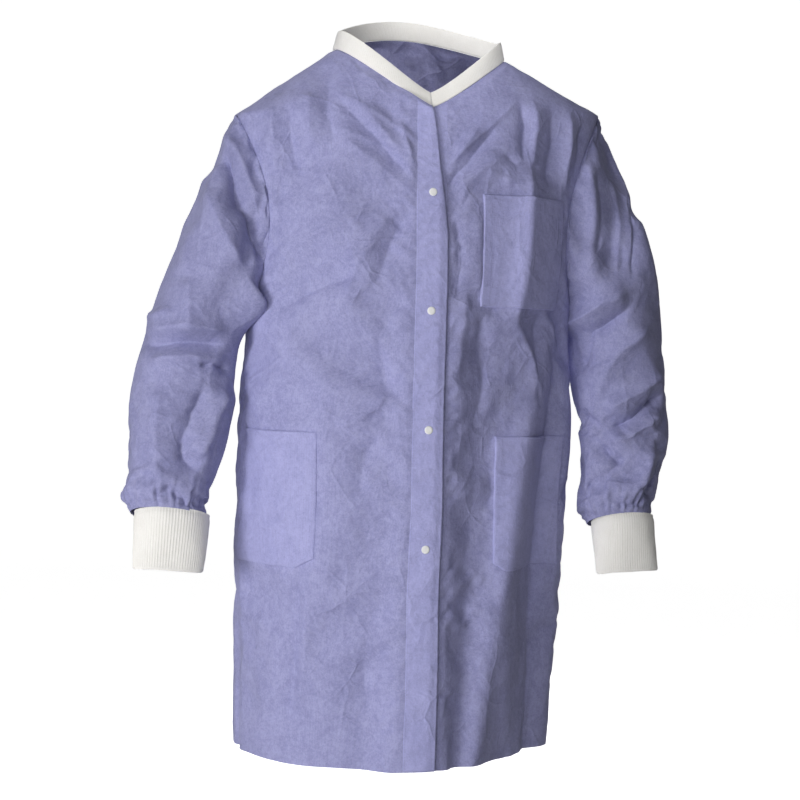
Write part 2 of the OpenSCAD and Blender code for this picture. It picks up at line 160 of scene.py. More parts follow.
def front_d(z):
    """Depth of the body outline before the middle plane."""
    return curve(z, [(0, HEM_FRONT), (HIP_Z, mix(WAIST_FRONT, HEM_FRONT, 0.38)),
                     (UNDERARM_Z, WAIST_FRONT), (CHEST_Z, CHEST_FRONT),
                     (VEE_Z, NECK_FRONT), (SIDE_NECK_Z, 0.65 * NECK_FRONT)])


def back_d(z):
    """Depth of the body outline behind the middle plane."""
    return curve(z, [(0, HEM_BACK), (0.25, mix(WAIST_BACK, HEM_BACK, 0.75)),
                     (0.52, WAIST_BACK), (0.70, WAIST_BACK + 0.002),
                     (0.85, BLADE_BACK), (BACK_NECK_Z, NECK_BACK)])


def armhole_x(side, z):
    """Where the cloth of the body ends at the side: the side seam, then the curved armhole."""
    sz = SHOULDER[side][1]
    inside = (z > UNDERARM_Z) & (z < sz)
    cut = ARMHOLE_INSET * np.sin(math.pi * (z - UNDERARM_Z) / (sz - UNDERARM_Z))
    return half_w(side, z) - np.where(inside, cut, 0.0)


def neck_x(z):
    """Distance of the neckline from the middle."""
    return NECK_HALF * np.clip((z - VEE_Z) / (SIDE_NECK_Z - VEE_Z), 0, 1) ** (1 / NECK_BOW)


def neck_z(x):
    """Height of the neckline."""
    return VEE_Z + (SIDE_NECK_Z - VEE_Z) * (np.abs(x) / NECK_HALF) ** NECK_BOW


def back_height(v, shoulder_z, top_z):
    """Height of a row of the back grid: hem, underarm, shoulder line, neck."""
    return np.where(v < UNDERARM_V, UNDERARM_Z * v / UNDERARM_V,
                    np.where(v < SHOULDER_V,
                             mix(UNDERARM_Z, shoulder_z, (v - UNDERARM_V) / (SHOULDER_V - UNDERARM_V)),
                             mix(shoulder_z, top_z, (v - SHOULDER_V) / (1 - SHOULDER_V))))


def power(a, e):
    """Signed power."""
    return np.sign(a) * np.abs(a) ** e


def body_point(side, z, a, n, depth):
    """Point of the body surface at height z and turn angle a (0 middle, 90 degrees side)."""
    x = SIGN[side] * half_w(side, z) * power(np.sin(a), 2 / n)
    y = depth * np.maximum(np.cos(a), 0) ** (2 / n)
    return np.stack([x, y, z + 0 * x], -1)


def turn(side, z, x, n):
    """Turn angle of the body surface at distance x from the middle."""
    r = np.clip(x / half_w(side, z), -1, 1)
    return np.arcsin(np.clip(power(r, n / 2), -1, 1))


def front_inner_x(z):
    """Inner edge of a front: the free edge, its slanting top, then the neckline."""
    return np.where(z > VEE_Z, neck_x(z), np.clip((z - VEE_Z) / EDGE_SLANT, -HALF_STRIP, 0))


def front_top(side, w):
    """Top edge of a front as x and z: slanting free edge, neckline, then the shoulder."""
    sx, sz = SHOULDER[side]
    x = mix(-HALF_STRIP, sx, w)
    ridge = mix(SIDE_NECK_Z, sz, (x - NECK_HALF) / (sx - NECK_HALF))
    neck = np.where(x > 0, neck_z(x), VEE_Z + EDGE_SLANT * x)
    return x, np.where(x > NECK_HALF, ridge, neck)


def front_angle(side, v, w):
    """Turn angle and height of a point of the front grid."""
    sx, sz = SHOULDER[side]
    z = front_top(side, w)[1] * v
    out = np.where(z < sz, armhole_x(side, z), sx)
    by_x = turn(side, z, mix(-HALF_STRIP, out, w), ROUND_FRONT)
    a0 = turn(side, z, front_inner_x(z), ROUND_FRONT)
    a1 = turn(side, z, armhole_x(side, z), ROUND_FRONT)
    return mix(mix(a0, a1, w), by_x, ease((v - 0.5) / 0.4)), z


def front_grid(side, v, w):
    """Front surface; v runs up and w from the free edge to the side seam and armhole."""
    a, z = front_angle(side, v, w)
    return body_point(side, z, a, ROUND_FRONT, -front_d(z))


def front_place(side, x, z):
    """Grid coordinates (v, w) of the front's point at distance x from the middle, height z."""
    want = turn(side, z, x, ROUND_FRONT)
    lo, hi = np.zeros_like(want), np.ones_like(want)
    for _ in range(34):
        w = (lo + hi) / 2
        v = np.clip(z / front_top(side, w)[1], 0, 1)
        a, _z = front_angle(side, v, w)
        lo, hi = np.where(a < want, w, lo), np.where(a < want, hi, w)
    return v, w


def back_grid(u, v):
    """Back surface; u runs from the right side seam (-1) to the left one (1)."""
    out = []
    for side in (RIGHT, LEFT):
        w = np.clip(u * SIGN[side], 0, 1)
        ze = back_height(v, SHOULDER[side][1], SIDE_NECK_Z)
        a1 = turn(side, ze, armhole_x(side, ze), ROUND_BACK)
        z = mix(back_height(v, BACK_MID_Z, BACK_NECK_Z), ze, w * w)
        out.append(body_point(side, z, a1 * w, ROUND_BACK, back_d(z)))
    return np.where((u < 0)[..., None], out[RIGHT], out[LEFT])


# Sleeves: t runs from the armhole (0) past the elbow (1) to the wrist (2).
CAP_X = (0.280, 0.308)
UPPER_X = (0.321, 0.345)
ELBOW_X = (0.303, 0.305)
FORE_X = (0.311, 0.3127)
WRIST_X = (0.321, 0.307)
WRIST_FORWARD = (0.054, 0.036)
ELBOW_Z, FORE_Z, WRIST_Z = 0.532, 0.430, 0.322
ELBOW_HALF, FORE_HALF, WRIST_HALF = 0.063, 0.065, 0.048
ELBOW_D, WRIST_D = 0.062, 0.036
WRIST_LEAN = math.radians(22)
CUFF_L = 0.074                        # length of the rib tube
CUFF_D = 0.018
SLIM_IN = (0.011, 0.0)                # inner edge moved outward, right and left arm
SPREAD = (0.005, -0.010)              # outer edge moved outward


def sleeve_outline(side, t):
    """Outer and inner edge of the sleeve seen from the front, as x and z of each."""
    sx, sz = SHOULDER[side]
    outer_x = curve(t, [(0, sx), (0.3, CAP_X[side]), (0.62, UPPER_X[side]),
                        (1, ELBOW_X[side] + ELBOW_HALF + 0.6 * SPREAD[side]),
                        (1.5, FORE_X[side] + FORE_HALF + SPREAD[side]),
                        (1.85, WRIST_X[side] + 0.056 + SPREAD[side]),
                        (2, WRIST_X[side] + WRIST_HALF + SPREAD[side])])
    outer_z = curve(t, [(0, sz), (0.3, 0.785), (0.62, 0.690), (1, ELBOW_Z + 0.006),
                        (1.5, FORE_Z + 0.002), (1.85, WRIST_Z + 0.032), (2, WRIST_Z + 0.002)])
    inner_x = curve(t, [(0, UNDERARM_HALF + 0.002), (0.3, 0.232), (0.62, 0.237),
                        (1, ELBOW_X[side] - ELBOW_HALF + 0.5 * SLIM_IN[side]),
                        (1.5, FORE_X[side] - FORE_HALF + SLIM_IN[side]),
                        (1.85, WRIST_X[side] - 0.057 + SLIM_IN[side]),
                        (2, WRIST_X[side] - WRIST_HALF + 0.5 * SLIM_IN[side])])
    inner_z = curve(t, [(0, UNDERARM_Z), (0.3, 0.604), (0.62, 0.580), (1, ELBOW_Z - 0.004),
                        (1.5, FORE_Z - 0.002), (1.85, WRIST_Z + 0.022), (2, WRIST_Z - 0.006)])
    return outer_x, outer_z, inner_x, inner_z


def sleeve_grid(side, t, f):
    """Sleeve surface; f is the angle round the arm, 0 outside and 90 degrees at the front."""
    ox, oz, ix, iz = sleeve_outline(side, t)
    depth = curve(t, [(0, 0.062), (0.4, 0.074), (1, ELBOW_D), (1.5, mix(WRIST_D, ELBOW_D, 0.7)),
                      (1.85, WRIST_D + 0.008), (2, WRIST_D)])
    fwd = WRIST_FORWARD[side]
    yc = curve(t, [(0, 0), (0.6, 0), (1, -0.15 * fwd), (1.5, -0.55 * fwd), (2, -fwd)])
    lean = np.radians(curve(t, [(0, 0), (0.6, 2), (1, 8), (1.6, 22), (2, 22)]))
    c, s = np.cos(f), np.sin(f)
    x = (ox + ix) / 2 + c * (ox - ix) / 2
    y = yc - s * depth * np.cos(lean)
    z = (oz + iz) / 2 + c * (oz - iz) / 2 + s * depth * np.sin(lean)
    ring = np.stack([SIGN[side] * x, y, z], -1)
    sz = SHOULDER[side][1]
    za = mix(UNDERARM_Z, sz, (1 + c) / 2)
    xa = armhole_x(side, za)
    r = np.clip(xa / half_w(side, za), 0, 1)
    ya = np.where(s > 0,
                  -front_d(za) * (1 - r**ROUND_FRONT) ** (1 / ROUND_FRONT),
                  back_d(za) * (1 - r**ROUND_BACK) ** (1 / ROUND_BACK))
    hole = np.stack([SIGN[side] * xa, ya, za], -1)
    w = ease(t / 0.35)[..., None]
    return (1 - w) * hole + w * ring


def cuff_axis(side, h):
    """Middle line of a cuff, h from the sleeve (0) to the open end (1)."""
    shift = (0.010 - SPREAD[side], 0.001)[side]
    return np.stack([SIGN[side] * (WRIST_X[side] + shift * h),
                     -WRIST_FORWARD[side] - CUFF_L * math.sin(WRIST_LEAN) * h - 0.0004,
                     WRIST_Z - 0.0028 - CUFF_L * math.cos(WRIST_LEAN) * h], -1)


def seam_point(side, q):
    """Neck seam from the back middle (0) round the side to the bottom of the vee (1)."""
    back = back_grid(SIGN[side] * np.clip(2 * q, 0, 1) + 0 * q, np.ones_like(q))
    x = NECK_HALF * np.clip(2 - 2 * q, 0, 1)
    z = neck_z(x)
    a = turn(side, z, x, ROUND_FRONT)
    front = body_point(side, z, a, ROUND_FRONT, -front_d(z))
    return np.where((q < 0.5)[..., None], back, front)


# ---------------------------------------------------------------- noise and creases
def hashed(ix, iy, iz, seed):
    """Three repeatable random numbers in -1..1 for each lattice cell."""
    h = (ix.astype(np.uint32) * np.uint32(374761393) + iy.astype(np.uint32) * np.uint32(668265263)
         + iz.astype(np.uint32) * np.uint32(2147483629) + np.uint32(seed * 974634777 % 2**32))
    out = []
    for k in (1, 2, 3):
        g = (h ^ (h >> np.uint32(13))) * np.uint32(1274126177 + 2 * k)
        g ^= g >> np.uint32(16)
        g *= np.uint32(2246822519)
        g ^= g >> np.uint32(13)
        out.append(g.astype(np.float64) / 2**31 - 1.0)
    return out


def noise(p, seed=0):
    """Smooth gradient noise, about -0.7..0.7, of points p."""
    i = np.floor(p).astype(np.int64)
    f = p - i
    u = f * f * f * (f * (f * 6 - 15) + 10)
    total = 0.0
    for dx in (0, 1):
        for dy in (0, 1):
            for dz in (0, 1):
                gx, gy, gz = hashed(i[..., 0] + dx, i[..., 1] + dy, i[..., 2] + dz, seed)
                dot = gx * (f[..., 0] - dx) + gy * (f[..., 1] - dy) + gz * (f[..., 2] - dz)
                wx = u[..., 0] if dx else 1 - u[..., 0]
                wy = u[..., 1] if dy else 1 - u[..., 1]
                wz = u[..., 2] if dz else 1 - u[..., 2]
                total = total + dot * wx * wy * wz
    return total


def crumple(p, seed=0):
    """Creased paper height: cones round scattered points, meeting in straight creases."""
    i = np.floor(p).astype(np.int64)
    best = np.full(p.shape[:-1], 9.0)
    for dx in (-1, 0, 1):
        for dy in (-1, 0, 1):
            for dz in (-1, 0, 1):
                cell = i + (dx, dy, dz)
                j = np.stack(hashed(cell[..., 0], cell[..., 1], cell[..., 2], seed), -1)
                d = np.linalg.norm(cell + 0.5 + 0.42 * j - p, axis=-1)
                best = np.minimum(best, d)
    return best - 0.5


CREASE = 1.7                          # scale of every placed fold


def crease(px, pz, path, height, width, other=None, ends=0.2):
    """Height of one fold along a path of (x, z) points: width on one side, other on the other."""
    best = np.full(px.shape, 9.0)
    signed = np.zeros(px.shape)
    along = np.zeros(px.shape)
    lengths = [math.dist(a, b) for a, b in zip(path, path[1:])]
    done = 0.0
    for (ax, az), (bx, bz), length in zip(path, path[1:], lengths):
        ux, uz = (bx - ax) / length, (bz - az) / length
        s = np.clip((px - ax) * ux + (pz - az) * uz, 0, length)
        dx, dz = px - ax - s * ux, pz - az - s * uz
        d = np.hypot(dx, dz)
        near = d < best
        best = np.where(near, d, best)
        signed = np.where(near, dx * uz - dz * ux, signed)
        along = np.where(near, (done + s) / sum(lengths), along)
        done += length
    w = np.where(signed > 0, width, other or width)
    taper = np.clip(np.minimum(along, 1 - along) / ends, 0.0, 1.0)
    return CREASE * height * (0.15 + 0.85 * ease(taper)) * np.exp(-((best / (0.78 * w)) ** 1.2))


# ---------------------------------------------------------------- meshes
def grid_normals(p, wrap=False):
    """Unit normals of a grid of points (rows by columns)."""
    if wrap:
        du = np.roll(p, -1, 1) - np.roll(p, 1, 1)
    else:
        du = np.gradient(p, axis=1)
    dv = np.gradient(p, axis=0)
    n = np.cross(du, dv)
    return n / np.maximum(np.linalg.norm(n, axis=-1, keepdims=True), 1e-9)


def quads(rows, cols, wrap=True):
    """Faces between the points of a grid counted row by row."""
    return [(j * cols + i, j * cols + (i + 1) % cols, (j + 1) * cols + (i + 1) % cols,
             (j + 1) * cols + i) for j in range(rows - 1) for i in range(cols - (not wrap))]


def new_object(name, data):
    obj = bpy.data.objects.new(name, data)
    bpy.context.scene.collection.objects.link(obj)
    return obj


def solid(name, verts, faces):
    """Smooth shaded object from points and faces."""
    mesh = bpy.data.meshes.new(name)
    mesh.from_pydata(verts, [], faces)
    mesh.polygons.foreach_set("use_smooth", np.ones(len(faces), bool))
    return new_object(name, mesh)


def sheet(name, outer, inner, normals, wrap=False, close=True, shade=True):
    """Thin shell between two grids of points; normals point outward and shade both sides."""
    m, n = outer.shape[:2]
    k = m * n
    front = np.array(quads(m, n, wrap))
    faces = [front, front[:, [0, 3, 2, 1]] + k]
    if close:
        p = np.arange(n if wrap else n - 1)
        q = (p + 1) % n
        faces.append(np.stack([p, p + k, q + k, q], 1))
        p, q = p + (m - 1) * n, q + (m - 1) * n
        faces.append(np.stack([p, q, q + k, p + k], 1))
        if not wrap:
            j = np.arange(m - 1) * n
            faces.append(np.stack([j, j + n, j + n + k, j + k], 1))
            j = j + n - 1
            faces.append(np.stack([j, j + k, j + n + k, j + n], 1))
    faces = np.concatenate(faces)
    if np.sum(grid_normals(outer, wrap) * normals) < 0:
        faces = faces[:, ::-1]
    verts = np.concatenate([outer.reshape(-1, 3), inner.reshape(-1, 3)])
    obj = solid(name, verts.tolist(), faces.tolist())
    if shade:
        both = np.concatenate([normals.reshape(-1, 3), -normals.reshape(-1, 3)])
        obj.data.normals_split_custom_set_from_vertices(both.tolist())
    return obj


def ring_solid(name, p):
    """Closed solid through rings of points, capped at both ends."""
    m, n = p.shape[:2]
    obj = solid(name, p.reshape(-1, 3).tolist(),
                quads(m, n) + [tuple(range(n)), tuple(range((m - 1) * n, m * n))])
    b = bmesh.new()
    b.from_mesh(obj.data)
    bmesh.ops.recalc_face_normals(b, faces=b.faces)
    b.to_mesh(obj.data)
    b.free()
    return obj


def set_weights(obj, weights):
    """Share of the second body that each point of a blended piece follows."""
    obj.data.attributes["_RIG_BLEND"].data.foreach_set("value", weights.astype(np.float32))


# ---------------------------------------------------------------- materials
def node_material(name):
    """New material with its node tree and its shader node."""
    mat = bpy.data.materials.new(name)
    mat.use_nodes = True
    tree = mat.node_tree
    bsdf = tree.nodes["Principled BSDF"]
    return mat, tree, bsdf


def add(tree, kind, **values):
    """New node; each value is a property of the node or else one of its inputs."""
    n = tree.nodes.new(kind)
    for key, value in values.items():
        if hasattr(n, key) and key not in n.inputs:
            setattr(n, key, value)
        else:
            n.inputs[key].default_value = value
    return n


def link(tree, a, b):
    tree.links.new(a, b)


def math_node(tree, op, a, b):
    n = tree.nodes.new("ShaderNodeMath")
    n.operation = op
    plug(tree, n, {0: a, 1: b})
    return n.outputs[0]


def plug(tree, node, values):
    """Fills inputs of a node: an output is linked, anything else is set as the value."""
    for key, value in values.items():
        if isinstance(value, bpy.types.NodeSocket):
            link(tree, value, node.inputs[key])
        else:
            node.inputs[key].default_value = value


def texture(tree, kind, place, output="Fac", **values):
    """Output of a texture that is read at place."""
    n = add(tree, "ShaderNodeTex" + kind, **values)
    link(tree, place, n.inputs["Vector"])
    return n.outputs[output]


def cells(tree, place, scale, **values):
    """Distance output of a Voronoi texture."""
    return texture(tree, "Voronoi", place, "Distance", Scale=scale, **values)


def weighted(tree, *terms):
    """Sum of outputs, each given with its factor."""
    total = None
    for source, factor in terms:
        part = math_node(tree, "MULTIPLY", source, factor)
        total = part if total is None else math_node(tree, "ADD", total, part)
    return total


def bump(tree, height, strength, distance, below=None):
    """Normal output of a bump node; below is the bump that it adds to."""
    n = add(tree, "ShaderNodeBump", Strength=strength, Distance=distance)
    plug(tree, n, {"Height": height, **({"Normal": below} if below else {})})
    return n.outputs[0]


def ramp(tree, source, stops):
    """Colour ramp; a stop is its position and a colour or a grey."""
    n = tree.nodes.new("ShaderNodeValToRGB")
    e = n.color_ramp.elements
    while len(e) < len(stops):
        e.new(0.5)
    for k, (pos, color) in enumerate(stops):
        e[k].position = pos
        e[k].color = (*color, 1) if isinstance(color, (tuple, list)) else (color,) * 3 + (1,)
    link(tree, source, n.inputs[0])
    return n.outputs[0]


WEB_DEEP, WEB_BASE, WEB_PALE = (0.282, 0.287, 0.524), (0.335, 0.338, 0.590), (0.388, 0.391, 0.650)
WEB_SPREAD = 0.085


def cloth_material(name, light, patchy):
    """Spunbond nonwoven: lavender blue fibres, point bonds, papery creases, soft sheen.

    light scales the colour: two layers look lighter, and beyond that it paints light or shade onto a copy of
    the cloth (painted light on the placket strip, painted shade on the sleeves); patchy the unevenness of
    the web."""
    mat, tree, bsdf = node_material(name)
    here = add(tree, "ShaderNodeTexCoord").outputs["Object"]
    warp = texture(tree, "Noise", here, "Color", Scale=18.0, Detail=2.0)
    bent = add(tree, "ShaderNodeVectorMath", operation="MULTIPLY_ADD")
    plug(tree, bent, {0: warp, 1: (0.02, 0.02, 0.02), 2: here})
    bent = bent.outputs[0]
    cloud = texture(tree, "Noise", here, Scale=34.0, Detail=5.0, Roughness=0.62)
    fleck = texture(tree, "Noise", here, Scale=420.0, Detail=4.0, Roughness=0.7)
    mottle = texture(tree, "Noise", bent, Scale=150.0, Detail=3.0, Roughness=0.6)
    stretch = add(tree, "ShaderNodeMapping")
    plug(tree, stretch, {"Vector": bent, "Scale": (1500.0, 1500.0, 120.0)})
    fibre = texture(tree, "Noise", stretch.outputs[0], Scale=1.0, Detail=3.0, Roughness=0.6)
    dots = ramp(tree, cells(tree, here, 620.0, Randomness=0.25), [(0.12, 0), (0.34, 1)])

    tone = weighted(tree, (cloud, 0.30), (fleck, 0.40), (mottle, 0.30))
    color = ramp(tree, tone, [(0.5 + k * WEB_SPREAD / patchy, [light * c for c in web])
                              for k, web in ((-1, WEB_DEEP), (0, WEB_BASE), (1, WEB_PALE))])
    shade = tree.nodes.new("ShaderNodeMix")
    shade.data_type = "RGBA"
    shade.blend_type = "MULTIPLY"
    plug(tree, shade, {"Factor": 0.22})
    link(tree, color, shade.inputs["A"])
    link(tree, dots, shade.inputs["B"])

    height = weighted(tree, (cells(tree, bent, 28.0), 0.12))
    for scale, depth in ((9.0, 0.13), (17.0, 0.09)):
        lines = cells(tree, bent, scale, feature="DISTANCE_TO_EDGE")
        shut = texture(tree, "Noise", here, Scale=scale * 0.9, Detail=1.0)
        near = ramp(tree, lines, [(0.0, 1), (0.045, 0.3), (0.16, 0)])
        near = math_node(tree, "MULTIPLY", near, ramp(tree, shut, [(0.47, 0), (0.60, 1)]))
        height = math_node(tree, "ADD", height, weighted(tree, (near, depth)))
    for source, depth in ((cells(tree, bent, 95.0), 0.06), (cloud, 0.20), (mottle, 0.05)):
        height = math_node(tree, "ADD", height, weighted(tree, (source, depth)))
    creases = bump(tree, height, 1.0, 0.0080)
    fine = weighted(tree, (fleck, 0.7), (fibre, 0.3), (dots, 0.35))
    plug(tree, bsdf, {"Base Color": shade.outputs["Result"],
                      "Normal": bump(tree, fine, 0.75, 0.0007, creases),
                      "Roughness": ramp(tree, cloud, [(0.3, 0.62), (0.7, 0.78)]),
                      "Sheen Weight": 0.25, "Sheen Roughness": 0.45,
                      "Sheen Tint": (0.78, 0.78, 1.0, 1), "Specular IOR Level": 0.35})
    return mat


def knit_material():
    """Off white cotton rib: yarn loops, slight fuzz, and painted shade, a little warm, in the grooves
    between loops.
    """
    mat, tree, bsdf = node_material("rib_knit")
    here = add(tree, "ShaderNodeTexCoord").outputs["Object"]
    loops = cells(tree, here, 900.0, feature="F1", Randomness=0.55)
    fuzz = texture(tree, "Noise", here, Scale=1400.0, Detail=4.0, Roughness=0.7)
    cloud = texture(tree, "Noise", here, Scale=40.0, Detail=3.0)
    # The colour darkens and warms where loops is large, in the grooves that the bump sinks: painted shade;
    # the cloud half adds random tone.
    tone = weighted(tree, (loops, 0.5), (cloud, 0.5))
    height = math_node(tree, "SUBTRACT", weighted(tree, (fuzz, 0.5)), loops)
    plug(tree, bsdf, {"Base Color": ramp(tree, tone, [(0.25, (0.94, 0.925, 0.895)),
                                                      (0.7, (0.86, 0.84, 0.80))]),
                      "Normal": bump(tree, height, 0.5, 0.0005), "Roughness": 0.9,
                      "Sheen Weight": 0.35, "Sheen Roughness": 0.5, "Specular IOR Level": 0.2})
    return mat


def plain_material(name, scale, colors, strength, rough):
    """One noise that mottles the colour and raises the surface a little."""
    mat, tree, bsdf = node_material(name)
    here = add(tree, "ShaderNodeTexCoord").outputs["Object"]
    grain = texture(tree, "Noise", here, Scale=scale, Detail=2.0)
    plug(tree, bsdf, {"Base Color": ramp(tree, grain, [(0.3, colors[0]), (0.7, colors[1])]),
                      "Roughness": rough})
    if strength:
        plug(tree, bsdf, {"Normal": bump(tree, grain, strength, 0.0002)})
    return mat


def floor_material():
    """Matt pale floor that looks white to the camera."""
    mat = plain_material("studio_floor", 3.0, (0.55, 0.58), 0, 0.85)
    tree = mat.node_tree
    seen = add(tree, "ShaderNodeLightPath").outputs["Is Camera Ray"]
    plug(tree, tree.nodes["Principled BSDF"],
         {"Emission Strength": math_node(tree, "MULTIPLY", seen, 0.95),
          "Emission Color": (1, 1, 1, 1)})
    return mat


CLOTH = cloth_material("nonwoven_cloth", 1.0, 1.0)
DOUBLE = cloth_material("nonwoven_double", 1.14, 0.7)
# The placket strip is 1.28 times as light as the cloth: partly its two layers, partly painted light that
# makes it look brightly lit.
STRIP_PAINTED_LIGHT = cloth_material("nonwoven_strip_painted_light", 1.28, 0.7)
# The sleeves are the same cloth darkened to 0.90 of its colour: painted shade.
SLEEVE_PAINTED_SHADE = cloth_material("nonwoven_sleeve_painted_shade", 0.90, 1.0)
KNIT = knit_material()
SNAP = plain_material("snap_plastic", 260.0, ((0.86, 0.86, 0.85), (0.92, 0.92, 0.91)), 0.2, 0.38)
THREAD = plain_material("thread", 2500.0, ((0.33, 0.335, 0.58), (0.40, 0.405, 0.65)), 0.4, 0.6)


def paint(obj, mat):
    """Gives an object its only material."""
    obj.data.materials.clear()
    obj.data.materials.append(mat)
    return obj


def place(obj, body, *nodes):
    """Lets an object ride a body and stand in for soft CAD nodes."""
    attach(obj, body)
    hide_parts(*nodes)


# ---------------------------------------------------------------- grids
def span(n):
    """n steps from 0 to 1."""
    return np.linspace(0, 1, n + 1)


def cubic_weights(at, n, wrap):
    """Catmull-Rom weights that read a row of n points at the positions at (in points)."""
    i = np.floor(at).astype(int)
    if not wrap:
        i = np.clip(i, 0, n - 2)
    f = at - i
    taps = (-0.5 * f + f**2 - 0.5 * f**3, 1 - 2.5 * f**2 + 1.5 * f**3,
            0.5 * f + 2 * f**2 - 1.5 * f**3, -0.5 * f**2 + 0.5 * f**3)
    index = [i - 1, i, i + 1, i + 2]
    index = [k % n if wrap else np.clip(k, 0, n - 1) for k in index]
    return list(zip(index, taps))


def resample(field, rows, cols, wrap=False):
    """Field on a coarse grid, read smoothly on a grid of rows by cols points."""
    m, n = field.shape[:2]
    v = cubic_weights(np.linspace(0, m - 1, rows), m, False)
    u = cubic_weights(np.arange(cols) * n / cols if wrap else np.linspace(0, n - 1, cols), n, wrap)
    tall = sum(field[k] * t[:, None, None] for k, t in v)
    return sum(tall[:, k] * t[None, :, None] for k, t in u)


def sample(grid, v, w):
    """Points of a grid at rows v and columns w, both 0..1."""
    m, n = grid.shape[:2]
    rows = cubic_weights(np.clip(v, 0, 1) * (m - 1), m, False)
    cols = cubic_weights(np.clip(w, 0, 1) * (n - 1), n, False)
    return sum(grid[i, j] * (a * b)[..., None] for i, a in rows for j, b in cols)


def to_border(grid, left=True):
    """Distance along the cloth from each grid point to the nearest side or top border."""
    du = np.linalg.norm(np.diff(grid, axis=1), axis=-1)
    dv = np.linalg.norm(np.diff(grid, axis=0), axis=-1)
    across = np.concatenate([np.zeros((grid.shape[0], 1)), np.cumsum(du, 1)], 1)
    up = np.concatenate([np.zeros((1, grid.shape[1])), np.cumsum(dv, 0)], 0)
    far = np.minimum(across[:, -1:] - across, up[-1:] - up)
    return np.minimum(far, across) if left else far


# ---------------------------------------------------------------- cloth simulation
CLOTH_FRAMES = 18
CLOTH_SETTINGS = {"quality": 6, "mass": 0.05, "air_damping": 4.0, "tension_stiffness": 18.0,
                  "compression_stiffness": 18.0, "shear_stiffness": 6.0,
                  "vertex_group_mass": "hold", "pin_stiffness": 1.0}


def drape(name, grid, hold, grow, cap, wrap=False, gravity=0.25, stiff=2.0, seed=0):
    """Runs cloth on a coarse grid a little too big for its borders, so it buckles.

    hold is how firmly each point is held, 1 at seams; grow is the cloth's excess and cap the
    largest move."""
    m, n = grid.shape[:2]
    start = grid + 0.0012 * noise(grid * 28.0, seed)[..., None] * np.array([0.6, 1.0, 0.3])
    start = np.where(hold[..., None] > 0.98, grid, start)
    obj = solid(name, start.reshape(-1, 3).tolist(), quads(m, n, wrap))
    scene = bpy.context.scene
    group = obj.vertex_groups.new(name="hold")
    for k, share in enumerate(hold.ravel().tolist()):
        group.add([k], share, "REPLACE")
    mod = obj.modifiers.new("Cloth", "CLOTH")
    for key, value in {**CLOTH_SETTINGS, "bending_stiffness": stiff, "shrink_min": -grow}.items():
        setattr(mod.settings, key, value)
    mod.settings.effector_weights.gravity = gravity
    mod.collision_settings.use_collision = False
    mod.point_cache.frame_start, mod.point_cache.frame_end = 1, CLOTH_FRAMES
    for f in range(1, CLOTH_FRAMES + 1):
        scene.frame_set(f)
    shown = obj.evaluated_get(bpy.context.evaluated_depsgraph_get())
    moved = np.empty(m * n * 3)
    shown.data.vertices.foreach_get("co", moved)
    bpy.data.meshes.remove(obj.data)
    scene.frame_set(1)
    move = moved.reshape(m, n, 3) - grid
    far = np.linalg.norm(move, axis=-1, keepdims=True)
    return move * (cap * np.tanh(far / cap) / np.maximum(far, 1e-9))


# ---------------------------------------------------------------- shared displacement
WOBBLE = 0.0028


def wobble(p):
    """Slow unevenness of the whole coat; the same at both sides of every seam."""
    return WOBBLE * np.stack([noise(p * 7.0, 11), 0.8 * noise(p * 7.0, 12),
                              0.35 * noise(p * 9.0, 13)], -1)


def crinkle(p, seed=0):
    """Papery creases of the nonwoven, in metres along the normal."""
    bend = p + 0.010 * np.stack([noise(p * 22.0, seed + 1), noise(p * 22.0, seed + 2),
                                 noise(p * 22.0, seed + 3)], -1)
    calm = 0.20 + 0.80 * ease(0.5 + 1.2 * noise(p * 5.5, seed + 4))
    upright = np.abs(noise(bend * np.array([26.0, 26.0, 9.0]), seed + 5))
    x, y, z = bend[..., 0], bend[..., 1], bend[..., 2]
    slant = np.stack([8.0 * (x + z), 12.0 * y, 24.0 * (x - z)], -1)
    slant = np.abs(noise(slant, seed + 6))
    facets = crumple(bend / 0.060, seed + 8)
    return (calm * (0.0040 * (0.2 - upright) - 0.0034 * (0.2 - slant) + 0.0011 * facets)
            + 0.0005 * noise(p * 60.0, seed + 7))


def front_shape(side, p):
    """Drape of one front below the chest, outward in metres, seen in the coat's frame."""
    x, z = p[..., 0] * SIGN[side], p[..., 2]
    low = ease((0.66 - z) / 0.34)
    if side == RIGHT:
        flat = -0.010 * low * ease((x - 0.024) / 0.055)
        return flat + 0.004 * low * hill(x, 0.150, 0.05)
    drop = -0.019 * ease((0.74 - z) / 0.30) * ease((x - 0.019) / 0.058)
    ridge_x = 0.084 + 0.155 * z
    bulge = 0.010 * low * hill(x, ridge_x, 0.021)
    fall = -0.022 * low * ease((x - ridge_x - 0.008) / 0.074)
    ridge = crease(p[..., 0], z, [(0.138, 0.800), (0.132, 0.690), (0.122, 0.570)], 0.0085, 0.018,
                   0.040, 0.3)
    return (drop + bulge + fall) * ease((0.228 - x) / 0.026) + ridge


